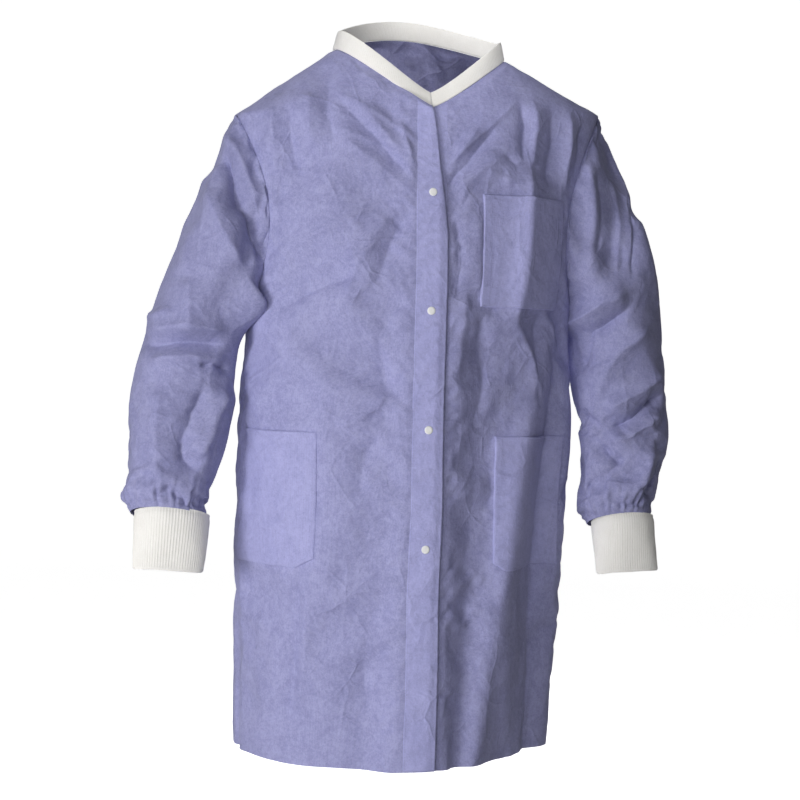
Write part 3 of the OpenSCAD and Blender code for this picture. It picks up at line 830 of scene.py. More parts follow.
# Folds as (height, width, width on the other side, points x and z), in millimetres; a
# negative height is a hollow. The sleeve's back folds are for the left arm.
RIGHT_FRONT_FOLDS = [
    (4.2, 12, 17, (-12, 752), (-50, 812), (-100, 868)),
    (2.6, 8, 8, (-16, 770), (-34, 812), (-46, 850)),
    (-3.8, 12, 12, (-20, 762), (-70, 818), (-128, 876)),
    (2, 12, 12, (-20, 745), (-75, 790), (-128, 828)),
    (-3, 12, 12, (-132, 905), (-137, 850), (-126, 812)),
    (3.6, 12, 16, (-158, 885), (-160, 835), (-152, 800)),
    (-4, 13, 13, (-182, 870), (-184, 820), (-174, 765)),
    (3.4, 11, 11, (-205, 862), (-203, 815), (-200, 770)),
    (-3.2, 14, 14, (-24, 735), (-52, 690), (-74, 630)),
    (2.4, 9, 9, (-34, 742), (-84, 690), (-118, 655)),
    (2, 8, 8, (-66, 700), (-98, 655), (-112, 600)),
    (-2.6, 14, 14, (-48, 600), (-66, 560), (-50, 470)),
    (2.2, 10, 10, (-46, 500), (-86, 455), (-120, 440)),
    (-2.2, 12, 12, (-60, 440), (-82, 405), (-88, 350)),
    (-4.5, 10, 18, (-158, 262), (-163, 150), (-170, 40)),
    (2.2, 10, 10, (-146, 240), (-150, 150), (-158, 60)),
    (-2.2, 18, 18, (-60, 220), (-74, 140), (-66, 60)),
    (1.9, 6, 6, (-200, 665), (-130, 706), (-65, 737)),
    (1.7, 6, 6, (-172, 632), (-120, 660), (-70, 682)),
    (-2, 7, 7, (-188, 596), (-140, 624), (-86, 646)),
    (1.9, 6, 6, (-129, 880), (-65, 849), (-10, 812)),
    (1.7, 6, 6, (-133, 834), (-80, 818), (-17, 806)),
]
LEFT_FRONT_FOLDS = [
    (4, 12, 10, (4, 764), (32, 802), (66, 846)),
    (-3.4, 12, 12, (14, 756), (52, 800), (90, 848)),
    (2, 10, 10, (26, 752), (60, 782), (100, 812)),
    (-3.6, 11, 11, (124, 882), (130, 848), (127, 800)),
    (4.6, 10, 18, (142, 886), (146, 845), (142, 790)),
    (-4, 12, 12, (170, 880), (176, 830), (170, 770)),
    (4.6, 10, 14, (198, 880), (200, 830), (196, 765)),
    (-3.6, 10, 10, (222, 870), (220, 820), (212, 760)),
    (2.4, 9, 9, (70, 790), (100, 776), (150, 770)),
    (-2.6, 8, 8, (98, 812), (120, 796), (158, 800)),
    (-5, 18, 18, (170, 610), (168, 550), (176, 470)),
    (4.5, 16, 12, (118, 600), (160, 545), (182, 480)),
    (-4, 18, 18, (72, 590), (86, 520), (70, 450)),
    (3, 14, 14, (50, 640), (44, 560), (40, 480)),
    (-2.6, 10, 10, (30, 730), (40, 680), (34, 600)),
    (2, 7, 7, (26, 798), (80, 846), (119, 882)),
    (1.8, 6, 6, (32, 788), (60, 802), (90, 812)),
]
BACK_FOLDS = [
    (3, 13, 13, (-190, 800), (-110, 776), (-20, 786)),
    (-2.6, 12, 12, (-185, 770), (-100, 742), (-10, 752)),
    (3, 12, 12, (196, 790), (120, 764), (40, 772)),
    (3.4, 14, 14, (-205, 700), (-150, 650), (-120, 560)),
    (3.4, 14, 14, (208, 705), (160, 655), (132, 560)),
    (-2.6, 14, 14, (60, 640), (50, 560), (64, 470)),
    (2.6, 10, 10, (-24, 945), (-34, 900), (-20, 850)),
    (-2.8, 10, 10, (30, 948), (44, 905), (36, 850)),
    (-2.4, 12, 12, (-72, 930), (-90, 880), (-84, 830)),
]
RIGHT_SLEEVE_FOLDS = [
    (4, 10, 10, (-262, 830), (-240, 775), (-226, 735)),
    (4, 15, 15, (-288, 760), (-272, 700), (-246, 650)),
    (-6.8, 12, 12, (-372, 548), (-330, 556), (-262, 551)),
    (4.4, 13, 13, (-366, 566), (-320, 575), (-262, 570)),
    (4.6, 13, 13, (-362, 530), (-310, 536), (-262, 528)),
    (-4.6, 8, 8, (-300, 524), (-281, 528), (-256, 518)),
    (4, 18, 18, (-312, 640), (-311, 600), (-309, 560)),
    (5.8, 12, 20, (-262, 500), (-278, 450), (-298, 395)),
    (-4.8, 15, 15, (-286, 500), (-306, 450), (-322, 405)),
    (3.6, 18, 18, (-344, 500), (-350, 440), (-350, 390)),
    (-4.6, 12, 12, (-322, 420), (-312, 400), (-292, 384)),
    (3.5, 10, 10, (-366, 590), (-352, 586), (-330, 596)),
]
# Hollow where the right sleeve is pushed against the torso, in metres.
PUSHED_HOLLOW = [(-0.270, 0.806), (-0.252, 0.736), (-0.238, 0.718), (-0.216, 0.655)]
# Folds of the left sleeve, again in millimetres.
LEFT_SLEEVE_FOLDS = [
    (5.8, 12, 18, (296, 640), (262, 630), (226, 585)),
    (-7, 13, 13, (300, 622), (250, 585), (243, 520)),
    (4.6, 17, 17, (330, 600), (286, 560), (262, 510)),
    (-7.2, 10, 16, (356, 505), (306, 469), (270, 448)),
    (5, 15, 15, (352, 480), (310, 450), (272, 428)),
    (5, 17, 17, (352, 535), (310, 502), (266, 478)),
    (-5.2, 10, 10, (262, 428), (276, 412), (292, 398)),
    (-5, 14, 14, (356, 420), (350, 380), (340, 345)),
    (4.6, 15, 15, (330, 430), (322, 390), (316, 350)),
    (5, 14, 20, (268, 800), (282, 730), (278, 660)),
    (-6, 12, 12, (246, 810), (252, 740), (244, 680)),
    (-4, 14, 14, (300, 780), (306, 720), (300, 660)),
]
SLEEVE_BACK_FOLDS = [
    (4, 13, 13, (365, 560), (310, 545), (255, 562)),
    (-4, 12, 12, (365, 530), (310, 516), (255, 530)),
    (4.5, 18, 18, (285, 790), (292, 710), (280, 640)),
    (-4.5, 14, 14, (262, 770), (262, 700), (252, 650)),
    (4, 15, 15, (340, 480), (330, 420), (336, 370)),
]


def folds(x, z, rows):
    """Height of a list of folds at the points x and z."""
    total = np.zeros(x.shape)
    for height, width, other, *path in rows:
        path = [(a * MM, b * MM) for a, b in path]
        total += crease(x, z, path, height * MM, width * MM, other * MM)
    return total


def front_creases(side, p):
    """Placed folds of one front, outward in metres: pulls from the top snap, shoulder and chest."""
    return folds(p[..., 0], p[..., 2], (RIGHT_FRONT_FOLDS, LEFT_FRONT_FOLDS)[side])


def back_shape(p):
    """Drape of the back: two soft flutes from the shoulder blades and a hollow spine."""
    x, z = p[..., 0], p[..., 2]
    low = ease((0.80 - z) / 0.55)
    h = -0.007 * low * hill(x, 0.0, 0.035)
    for at, high, wide in ((-0.085, 0.009, 0.034), (0.098, 0.008, 0.038), (-0.165, 0.005, 0.03),
                           (0.172, 0.005, 0.028)):
        h += high * low * hill(x, at * mix(0.8, 1.15, ease(1 - z / 0.8)), wide)
    return h - 0.006 * low * (hill(x, 0.135, 0.022) + hill(x, -0.128, 0.022))


def back_creases(p):
    """Creases of the back: pulls between the armholes and short ones under the collar."""
    return folds(p[..., 0], p[..., 2], BACK_FOLDS)


def between(z, low, high):
    """1 between two heights, fading out towards both."""
    return ease((high - z) / 0.05) * ease((z - low) / 0.06)


def sleeve_shape(side, p, t, f):
    """Large folds of one sleeve as a move of its points: cloth pushed over the torso on the
    right arm, a long hollow beside the armhole on the left one."""
    x, z = p[..., 0], p[..., 2]
    move = np.zeros(p.shape)
    if side == RIGHT:
        over = hill(t, 0.50, 0.22) * hill(f, 2.56, 0.46)
        move[..., 0] = 0.027 * over
        move[..., 1] = -0.024 * over
        return move
    facing = ease(np.sin(f) * 2.0)
    hollow = hill(x, 0.280, 0.020) * between(z, 0.640, 0.860)
    crest = hill(x, 0.243, 0.012) * between(z, 0.640, 0.850)
    edge = hill(x, 0.316 + 0.25 * (0.76 - z), 0.012) * between(z, 0.620, 0.830)
    move[..., 1] = facing * ease(t / 0.12) * (0.026 * hollow - 0.011 * crest - 0.007 * edge)
    return move


def sleeve_creases(side, p, f):
    """Creases of one sleeve: the cap, the bend of the elbow and the pull to the cuff."""
    x, z = p[..., 0], p[..., 2]
    facing = ease(np.sin(f) * 2.5 + 0.5)
    before = folds(x, z, (RIGHT_SLEEVE_FOLDS, LEFT_SLEEVE_FOLDS)[side])
    if side == RIGHT:
        before -= crease(x, z, PUSHED_HOLLOW, 0.0085, 0.010, 0.016, 0.12)
    behind = folds(x * SIGN[side], z, SLEEVE_BACK_FOLDS)
    return before * facing + behind * (1 - facing)


# ---------------------------------------------------------------- final surfaces
FRONT_ROWS, FRONT_COLS = 300, 100     # grid steps of the finished cloth
BACK_ROWS, BACK_COLS = 270, 164
SLEEVE_ROWS, SLEEVE_COLS = 190, 140
SPLIT_T = 0.80                        # where the upper and lower sleeve pieces meet
SLEEVE_FOLD = 1.35                    # placed folds are deeper on the sleeves
DRAPE_FRONT, DRAPE_BACK, DRAPE_SLEEVE = (96, 34), (96, 64), (74, 58)   # simulated grids
SEAM_GROOVE, GROOVE_HALF = 0.0011, 0.004


def facing(n, away):
    """Normals turned so that on the whole they point the way of the vectors away."""
    return -n if np.sum(n * away) < 0 else n


def from_middle(grid):
    """Vectors from the coat's upright middle plane to the points of a grid."""
    return grid - grid * (0.55, 0, 1)


def seam_groove(edge, z):
    """Shallow furrow along the seams; edge is the distance to the nearest one."""
    return -SEAM_GROOVE * hill(edge, 0.0, GROOVE_HALF) * ease((z - 0.02) / 0.02)


def unit_grid(rows, cols):
    """Two arrays that run from 0 to 1 over the rows and over the columns."""
    return np.meshgrid(span(rows - 1), span(cols - 1), indexing="ij")


def lift_of(x):
    """How far the right front stands off the body line at signed distance x, + past the middle."""
    climb = LIFT * ease((FOLD_TOP_X - 0.006 + x) / (FOLD_TOP_X - 0.030))
    return climb - 0.0026 * ease((x - 0.008) / 0.012)


class Surface:
    """A finished cloth surface: points and outward normals, and t and f on a sleeve."""

    def __init__(self, points, normals, t=None, f=None):
        self.points, self.normals, self.t, self.f = points, normals, t, f

    def at(self, v, w, height=0.0):
        n = unit(sample(self.normals, v, w))
        return sample(self.points, v, w) + n * height, n


def pocket_mask(side, x, z):
    """1 where a pocket covers a front, so that the cloth below it stays calm."""
    m = np.zeros(x.shape)
    for p in POCKETS.values():
        if p["side"] == side:
            inside = (ease((np.abs(x) - p["x0"] + 0.004) / 0.008)
                      * ease((p["x1"] + 0.004 - np.abs(x)) / 0.008)
                      * ease((z - p["z0"] + 0.004) / 0.008)
                      * ease((p["z0"] + p["h"] + 0.002 - z) / 0.008))
            m = np.maximum(m, inside)
    return m


# Distances x0 to x1 from the middle, height z0 of the bottom, own height, hem band and corner.
POCKETS = {
    "chest_pocket": {"side": LEFT, "x0": 0.071, "x1": 0.193, "z0": 0.608, "h": 0.148,
                     "band": 0.020, "clip": 0.010},
    "right_hip_pocket": {"side": RIGHT, "x0": 0.142, "x1": 0.227, "z0": 0.258, "h": 0.178,
                         "band": 0.007, "clip": 0.013},
    "left_hip_pocket": {"side": LEFT, "x0": 0.106, "x1": 0.220, "z0": 0.258, "h": 0.178,
                        "band": 0.007, "clip": 0.010},
}


def make_front(side):
    """Cloth surface of one front; it stays flat along the free edge and under the pockets."""
    v, w = unit_grid(FRONT_ROWS + 1, FRONT_COLS + 1)
    base = front_grid(side, v, w)
    n = facing(grid_normals(base), from_middle(base))
    x, z = base[..., 0], base[..., 2]
    edge = to_border(base, left=False)
    fade = ease(edge / 0.020)
    shape = front_shape(side, base) * ease(edge / 0.05)
    drawn = base + n * (shape * fade)[..., None]
    coarse = sample(drawn, *unit_grid(*DRAPE_FRONT))
    near = to_border(coarse, left=False)
    hold = np.where(near < 0.004, 1.0, 0.02) + ease((0.050 - np.abs(coarse[..., 0])) / 0.030)
    hold = np.clip(hold + pocket_mask(side, coarse[..., 0], coarse[..., 2]) * 0.3, 0, 1)
    move = drape(f"front_cloth_{side}", coarse, hold, 0.016, 0.007, stiff=6.0, seed=20 + side)
    move = resample(move, FRONT_ROWS + 1, FRONT_COLS + 1)
    loose = 1 - ease((0.034 - np.abs(x)) / 0.014)
    creases = front_creases(side, base) * ease(edge / 0.014) * (0.25 + 0.75 * loose)
    pocket = pocket_mask(side, x, z)
    settle = (fade * loose * (1 - 0.8 * pocket))[..., None]
    up = lift_of(x) if side == RIGHT else 0 * x
    smooth = drawn + move * settle + n * (creases * (1 - 0.6 * pocket) + up)[..., None]
    fine = crinkle(base, 40 + 10 * side) * ease(edge / 0.012) * (0.18 + 0.82 * loose)
    fine = fine * (1 - 0.9 * pocket) + seam_groove(edge, z)
    final = smooth + wobble(base) + n * fine[..., None]
    return Surface(final, facing(grid_normals(final), from_middle(base)))


def make_back():
    """Cloth surface of the back."""
    v, u = unit_grid(BACK_ROWS + 1, BACK_COLS + 1)
    base = back_grid(u * 2 - 1, v)
    n = facing(grid_normals(base), from_middle(base))
    edge = to_border(base)
    drawn = base + n * (back_shape(base) * ease(edge / 0.05))[..., None]
    coarse = sample(drawn, *unit_grid(*DRAPE_BACK))
    hold = np.where(to_border(coarse) < 0.004, 1.0, 0.02)
    move = drape("back_cloth", coarse, hold, 0.018, 0.008, stiff=6.0, seed=30)
    move = resample(move, BACK_ROWS + 1, BACK_COLS + 1)
    creases = back_creases(base) * ease(edge / 0.014)
    smooth = drawn + move * ease(edge / 0.020)[..., None] + n * creases[..., None] + wobble(base)
    fine = crinkle(base, 70) * ease(edge / 0.012) + seam_groove(edge, base[..., 2])
    final = smooth + n * fine[..., None]
    return Surface(final, facing(grid_normals(final), from_middle(base)))


def sleeve_ring(rows, cols):
    """t and the angle f on a grid from armhole to wrist, all the way round."""
    return np.meshgrid(span(rows - 1) * 2, np.arange(cols) * 2 * math.pi / cols, indexing="ij")


def make_sleeve(side):
    """Cloth surface of one sleeve with its gathers into the cuff."""
    t, f = sleeve_ring(SLEEVE_ROWS + 1, SLEEVE_COLS)
    base = sleeve_grid(side, t, f)
    n = facing(grid_normals(base, True), base - base.mean(1, keepdims=True))
    ends = np.minimum(ease(t / 0.10), ease((2 - t) / 0.06))
    tc, fc = sleeve_ring(*DRAPE_SLEEVE)
    hold = np.where((tc < 0.01) | (tc > 1.99), 1.0, 0.015)
    move = drape(f"sleeve_cloth_{side}", sleeve_grid(side, tc, fc), hold, 0.05, 0.009, wrap=True,
                 gravity=0.6, seed=50 + side)
    move = resample(move, SLEEVE_ROWS + 1, SLEEVE_COLS, wrap=True)
    gather = 0.0016 * ease((t - 1.72) / 0.22) * ease((2.04 - t) / 0.1)
    pleat = np.cos(f * 27 + 3 * noise(base * 9.0, 60)) * 0.6 + np.cos(f * 41 + 1.0) * 0.4
    puff = 0.003 * hill(t, 1.86, 0.07)
    h = SLEEVE_FOLD * sleeve_creases(side, base, f) * ends + gather * pleat + puff
    large = sleeve_shape(side, base, t, f) * ease((2 - t) / 0.2)[..., None]
    smooth = base + large + move * ends[..., None] + n * h[..., None] + wobble(base)
    fine = crinkle(base, 80 + 10 * side) * ease(t / 0.05) * ease((2 - t) / 0.05)
    final = smooth + n * (fine - SEAM_GROOVE * hill(t, 0.0, 0.012))[..., None]
    return Surface(final, facing(grid_normals(final, True), n), t, f)


fronts = [make_front(RIGHT), make_front(LEFT)]
back = make_back()
sleeves = [make_sleeve(RIGHT), make_sleeve(LEFT)]


# ---------------------------------------------------------------- cloth pieces
FLAP_BEND = 0.038                     # width of cloth that bends when a front opens
SHOULDER_REACH = (0.32, 0.80)         # t where the raised sleeve is reached, outside and inside
ELBOW_BEND = (0.82, 0.40)             # t where the elbow starts to bend, and over what length


def cloth_sheet(name, s, rows=slice(None), wrap=False, close=True, mat=CLOTH):
    """Closed sheet of cloth laid on the chosen rows of a surface."""
    p, n = s.points[rows], s.normals[rows]
    return paint(sheet(name, p + n * CLOTH_T, p, n, wrap, close), mat)


def flap_blend(obj, side):
    """obj follows the torso outside the fold line and the flap inside it."""
    mid = np.array([(FOLD_HEM_X + FOLD_TOP_X) / 2 * SIGN[side], 0, FOLD_TOP_Z / 2])
    along = np.array([(FOLD_TOP_X - FOLD_HEM_X) * SIGN[side], 0, FOLD_TOP_Z])
    inward = unit(np.array([-SIGN[side] * along[2], 0, SIGN[side] * along[0]]))
    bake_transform(obj, "torso", f"{ARM[side]}_flap", start=tuple(mid), end=tuple(mid + inward * FLAP_BEND))


for side in (RIGHT, LEFT):
    piece = cloth_sheet(f"{ARM[side]}_front", fronts[side])
    flap_blend(piece, side)
    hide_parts(f"{ARM[side]}_front_panel", f"{ARM[side]}_front_flap")
place(cloth_sheet("back", back), "torso", "back_panel")

for side in (RIGHT, LEFT):
    s = sleeves[side]
    cut = int(round(SPLIT_T / 2 * SLEEVE_ROWS))
    # Both sleeve pieces use the cloth darkened with painted shade.
    upper = cloth_sheet(f"{ARM[side]}_sleeve_top", s, slice(0, cut + 1), True, False, SLEEVE_PAINTED_SHADE)
    lower = cloth_sheet(f"{ARM[side]}_sleeve_end", s, slice(cut, None), True, False, SLEEVE_PAINTED_SHADE)
    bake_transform(upper, "torso", f"{ARM[side]}_sleeve", start=(0, 0, 0), end=(1, 0, 0))
    reach = mix(*SHOULDER_REACH, (1 - np.cos(s.f[:cut + 1])) / 2)
    w = ease(s.t[:cut + 1] / reach).ravel()
    set_weights(upper, np.concatenate([w, w]))
    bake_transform(lower, f"{ARM[side]}_sleeve", f"{ARM[side]}_forearm", start=(0, 0, 0), end=(1, 0, 0))
    w = ease((s.t[cut:] - ELBOW_BEND[0]) / ELBOW_BEND[1]).ravel()
    set_weights(lower, np.concatenate([w, w]))
    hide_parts(f"{ARM[side]}_sleeve_upper")
    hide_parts(f"{ARM[side]}_sleeve_lower")


# ---------------------------------------------------------------- knit
CUFF_RIBS, COLLAR_RIBS, RIB_STEPS = 78, int(0.30 / 0.0028), 5
BAND_RISE = 0.026


def cuff_point(side, h, f):
    """Point of a cuff: h from the sleeve (0) to the open end (1), f the angle round the arm."""
    c = cuff_axis(side, h)
    w = mix((0.050, 0.0445)[side], (0.0455, 0.0440)[side], h)
    d = mix(WRIST_D - 0.002, CUFF_D, ease(h))
    return (c + (np.cos(f) * w)[..., None] * np.array([SIGN[side], 0, 0.06])
            + (np.sin(f) * d)[..., None] * np.array([0, -math.cos(WRIST_LEAN), math.sin(WRIST_LEAN)]))


def make_cuff(side):
    """Ribbed tube folded over at its open end."""
    count = CUFF_RIBS * RIB_STEPS
    h, f = np.meshgrid(np.linspace(-0.03, 1, 40), np.arange(count) * 2 * math.pi / count,
                       indexing="ij")
    p = cuff_point(side, h, f)
    n = facing(grid_normals(p, True), p - p.mean(1, keepdims=True))
    turned = ease((h - 0.975) / 0.025)
    rib = 0.00026 * np.cos(CUFF_RIBS * f) * ease((1.0 - h) / 0.05)
    soft = 0.0016 * noise(p * 26.0, 90 + side) + 0.0006 * noise(p * 70.0, 92 + side)
    pull = -0.0012 * hill(h, 0.0, 0.05)
    wave = 0.0016 * noise(np.stack([f * 0 + 3.1, np.cos(f) * 1.5, np.sin(f) * 1.5], -1), 95 + side)
    p = p + n * (rib + soft + pull - 0.0016 * turned)[..., None]
    p[..., 2] += wave * ease(h) - 0.0045 * np.sin(f) * ease((h - 0.3) / 0.7)
    normals = facing(grid_normals(p, True), n)
    inner = p - normals * mix(0.0021, 0.0008, turned)[..., None]
    obj = sheet(f"{ARM[side]}_cuff_knit", p, inner, normals, True)
    place(paint(obj, KNIT), f"{ARM[side]}_forearm", f"{ARM[side]}_cuff")


for side in (RIGHT, LEFT):
    make_cuff(side)


def collar_points(side):
    """Half of the folded rib band: rings of a flattened tube standing on the neck seam."""
    q = np.linspace(0, 1 - 0.002, COLLAR_RIBS * RIB_STEPS)
    qq, around = np.meshgrid(q, 2 * math.pi * np.linspace(0, 1, 37)[:-1], indexing="ij")
    rise, across = 0.5 - 0.5 * np.cos(around), np.sin(around)
    seam = seam_point(side, q)
    k = ease((q - 0.4) / 0.6)
    lean = np.stack([-SIGN[side] * 0.006 * np.sin(math.pi * q), mix(-0.002, 0.013, k),
                     mix(BAND_RISE, 0.82 * BAND_RISE, k)], -1)
    out = unit(np.cross(lean, np.gradient(seam, axis=0)))
    out = (out * np.sign(np.sum(out * seam * (1, 1, 0), -1, keepdims=True)))[:, None, :]
    half = 0.0013 + 0.0006 * hill(rise, 0.0, 0.22)
    rib = 0.00014 * np.cos(2 * math.pi * COLLAR_RIBS * qq)
    flat = np.sign(across) * np.abs(across) ** 0.55
    p = seam[:, None, :] + (0, 0, 0.0002) + lean[:, None, :] * rise[..., None]
    p = p + out * (flat * (half + rib))[..., None] + wobble(seam)[:, None, :]
    return p + (0.0010 * noise(p * 24.0, 97 + side))[..., None] * out


def make_collar(side, *nodes):
    """Collar half whose back part stays with the torso and whose front end goes with the flap."""
    obj = ring_solid(f"{ARM[side]}_collar_band", collar_points(side))
    paint(obj, KNIT)
    flap_blend(obj, side)
    shares = np.empty(len(obj.data.vertices))
    obj.data.attributes["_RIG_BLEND"].data.foreach_get("value", shares)
    set_weights(obj, np.where(np.arange(shares.size) < shares.size / 2, 0.0, shares))
    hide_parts(*nodes)


make_collar(RIGHT, "collar_right", "collar_back")
make_collar(LEFT, "collar_left")


# ---------------------------------------------------------------- plackets
STRIP_HALF, STRIP_RISE = 0.0215, 0.0010


def make_placket(side):
    """Folded strip round the free edge of a front, stitched along its inner side."""
    across = np.concatenate([[0, 0.012, 0.04], np.linspace(0.1, 0.9, 13), [0.96, 0.985, 1, 1]])
    rounded = np.sqrt(ease(across / 0.06) * ease((1.02 - across) / 0.05))
    rise = mix(0.15, 1.0, across) * STRIP_RISE * rounded
    out = np.zeros(across.size)
    out[-1], rise[-1] = 0.0010, 0.0004
    under = np.linspace(1, 0.04, 6)
    across = np.concatenate([across, under])
    height = np.concatenate([CLOTH_T + rise, np.full(under.size, -0.0003)])
    out = np.concatenate([out, np.zeros(under.size)])
    z = 0.0008 + span(259)[:, None] * (neck_z(mix(STRIP_HALF, 0.0, across))[None, :] - 0.0032)
    inside = mix(STRIP_HALF, front_inner_x(np.minimum(z, VEE_Z)), across[None, :])
    v, w = front_place(side, inside, z)
    p, n = fronts[side].at(v, w)
    h = height[None, :] + 0.00018 * noise(np.stack([inside * 60, z * 30, 0 * z], -1), 33)
    p = p + n * h[..., None]
    p[..., 0] -= SIGN[side] * out[None, :]
    obj = ring_solid(f"{ARM[side]}_placket_strip", p)
    # The right strip gets the cloth with painted light; the left one gets the plain two layer cloth.
    paint(obj, STRIP_PAINTED_LIGHT if side == RIGHT else DOUBLE)
    place(obj, f"{ARM[side]}_flap", f"{ARM[side]}_placket")


make_placket(RIGHT)
make_placket(LEFT)


# ---------------------------------------------------------------- stitches
THREAD_SIDES = 5
THREAD_RINGS = [(-0.42, 0.8), (0.0, 1.0), (0.42, 0.8)]


def stitches(name, paths, radius=0.00026, length=0.0022, pitch=0.0034):
    """Row of thread stitches along paths of points with normals."""
    verts, faces = [], []
    ring = np.arange(THREAD_SIDES) * 2 * math.pi / THREAD_SIDES
    for points, normals in paths:
        done = np.concatenate([[0], np.cumsum(np.linalg.norm(np.diff(points, axis=0), axis=-1))])
        at = np.arange(pitch / 2, done[-1], pitch)

        def read(rows, shift=0.0):
            return np.stack([np.interp(at + shift, done, rows[:, k]) for k in range(3)], -1)

        ahead = unit(read(points, 0.0005) - read(points, -0.0005))
        across = unit(np.cross(ahead, read(normals)))
        up = np.cross(across, ahead)
        for c, a, s, u in zip(read(points), ahead, across, up):
            first = len(verts)
            verts.append(c - a * length / 2 - u * radius * 0.6)
            for along, size in THREAD_RINGS:
                verts += [c + a * along * length + (s * math.cos(r) + u * math.sin(r)) * radius * size
                          for r in ring]
            verts.append(c + a * length / 2 - u * radius * 0.6)
            last = len(verts) - 1
            for i in range(THREAD_SIDES):
                j = (i + 1) % THREAD_SIDES
                faces.append((first, first + 1 + j, first + 1 + i))
                faces.append((last, last - THREAD_SIDES + i, last - THREAD_SIDES + j))
                for k in range(len(THREAD_RINGS) - 1):
                    b = first + 1 + k * THREAD_SIDES
                    faces.append((b + i, b + j, b + THREAD_SIDES + j, b + THREAD_SIDES + i))
    return paint(solid(name, [tuple(v) for v in verts], faces), THREAD)


def strip_line(side, x):
    """Upright line on a front at distance x, lying on the placket."""
    z = np.linspace(0.004, float(neck_z(x)) - 0.006, 260)
    v, w = front_place(side, np.full(z.shape, x), z)
    return fronts[side].at(v, w, CLOTH_T + 0.0004)


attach(stitches("right_placket_thread", [strip_line(RIGHT, 0.0195)], 0.0002), "right_flap")


# ---------------------------------------------------------------- pockets
HIP_POCKET_X = 0.1                    # only pockets that start further out have a clipped corner
PEN_SLOT = 0.0115                     # pen slot's line from the chest pocket's inner edge
STITCH_IN = 0.0028                    # stitches from a pocket's edge
HEM_GAP = 0.0030                      # between the two lines of a hip pocket's hem


def fine_ends(n, edge=0.008):
    """0..1 with closer steps near both ends."""
    inner = np.linspace(edge * 2, 1 - edge * 2, n)
    return np.concatenate([[0, edge * 0.35, edge], inner, [1 - edge, 1 - edge * 0.35, 1]])


def pocket_field(pocket, s, t):
    """Place on the front of a pocket's point: s from the inner edge outward, t up."""
    side = pocket["side"]
    lift = np.zeros(s.shape)
    reach = pocket["clip"] / (pocket["x1"] - pocket["x0"])
    if pocket["x0"] > HIP_POCKET_X:
        lift = pocket["clip"] * np.clip(1 - s / reach, 0, 1) * (1 - t) ** 2
    z = pocket["z0"] + t * pocket["h"] + lift
    a0 = turn(side, z, np.full(z.shape, pocket["x0"]), ROUND_FRONT)
    a1 = turn(side, z, np.full(z.shape, pocket["x1"]), ROUND_FRONT)
    x = half_w(side, z) * power(np.sin(mix(a0, a1, s)), 2 / ROUND_FRONT)
    return front_place(side, x, z)


def make_pocket(name):
    """Patch pocket with turned edges, its hem band and its lines of stitches."""
    pocket = POCKETS[name]
    side = pocket["side"]
    s, t = np.meshgrid(fine_ends(46), fine_ends(60), indexing="xy")
    v, w = pocket_field(pocket, s, t)
    p, n = fronts[side].at(v, w)
    width = pocket["x1"] - pocket["x0"]
    rim = np.minimum(np.minimum(s, 1 - s) * width, np.minimum(t, 1 - t) * pocket["h"])
    turned = ease(rim / 0.0012) ** 0.5
    band = ease((t - 1 + pocket["band"] / pocket["h"]) * pocket["h"] / 0.0016)
    mouth = ease((t - 0.86) / 0.14) * np.sin(math.pi * np.clip(s, 0, 1)) ** 1.5
    body = np.sin(math.pi * np.clip(s, 0, 1)) ** 0.7 * np.sin(math.pi * np.clip(t, 0, 1)) ** 0.6
    h = (CLOTH_T + 0.0003 + 0.0017 * turned + 0.0004 * band * turned + 0.0022 * mouth
         + 0.0010 * body + 0.0010 * body * crumple(p / 0.045, 131)
         + 0.0005 * noise(p * 40.0, 132) * turned)
    if name == "chest_pocket":
        slot = PEN_SLOT / width
        h = h - 0.0007 * hill((s - slot) * width, 0.0, 0.0018) * (1 - 0.6 * band)
    outer = p + n * h[..., None]
    inner = p + n * (CLOTH_T + 0.0001 + 0.0022 * mouth[..., None] * 0.9)
    normals = facing(grid_normals(outer), n)
    obj = sheet(name + "_patch", outer, inner, normals, shade=False)
    place(paint(obj, DOUBLE), "torso", name)

    def line(sa, ta, sb, tb, count=90):
        k = np.linspace(0, 1, count)
        ss, tl = mix(sa, sb, k), mix(ta, tb, k)
        i = sample_rect(s[0], t[:, 0], ss, tl)
        q, m = read_rect(outer, *i), read_rect(normals, *i)
        return q + m * 0.00008, unit(m)

    es, et = STITCH_IN / width, STITCH_IN / pocket["h"]
    hem = 1 - pocket["band"] / pocket["h"]
    cs = pocket["clip"] / width if pocket["x0"] > HIP_POCKET_X else es
    paths = [line(es, 1 - et, es, et), line(max(es, cs * 0.4), et, 1 - es, et),
             line(1 - es, et, 1 - es, 1 - et), line(es, hem, 1 - es, hem)]
    if name == "chest_pocket":
        slot = PEN_SLOT / width
        paths.append(line(slot, 1 - et, slot, et))
    else:
        gap = HEM_GAP / pocket["h"]
        paths.append(line(es, hem + gap, 1 - es, hem + gap))
    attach(stitches(name + "_thread", paths), "torso")


def sample_rect(cols, rows, s, t):
    """Fractional grid places of s and t on uneven rows and columns."""
    return np.interp(t, rows, np.arange(rows.size)), np.interp(s, cols, np.arange(cols.size))


def read_rect(grid, r, c):
    """Grid read between its points at fractional rows and columns."""
    m, n = grid.shape[:2]
    i, j = np.clip(np.floor(r).astype(int), 0, m - 2), np.clip(np.floor(c).astype(int), 0, n - 2)
    a, b = (r - i)[:, None], (c - j)[:, None]
    return ((1 - a) * (1 - b) * grid[i, j] + (1 - a) * b * grid[i, j + 1]
            + a * (1 - b) * grid[i + 1, j] + a * b * grid[i + 1, j + 1])


for pocket_name in POCKETS:
    make_pocket(pocket_name)


# ---------------------------------------------------------------- snaps
for node in ("snap_caps", "snap_sockets", "snap_studs", "snap_backs"):
    cad = frame["nodes"][node]
    for s in cad.material_slots:
        s.link = "OBJECT"
        s.material = SNAP


# ---------------------------------------------------------------- stage, light, camera
FLOOR_Z = -0.45


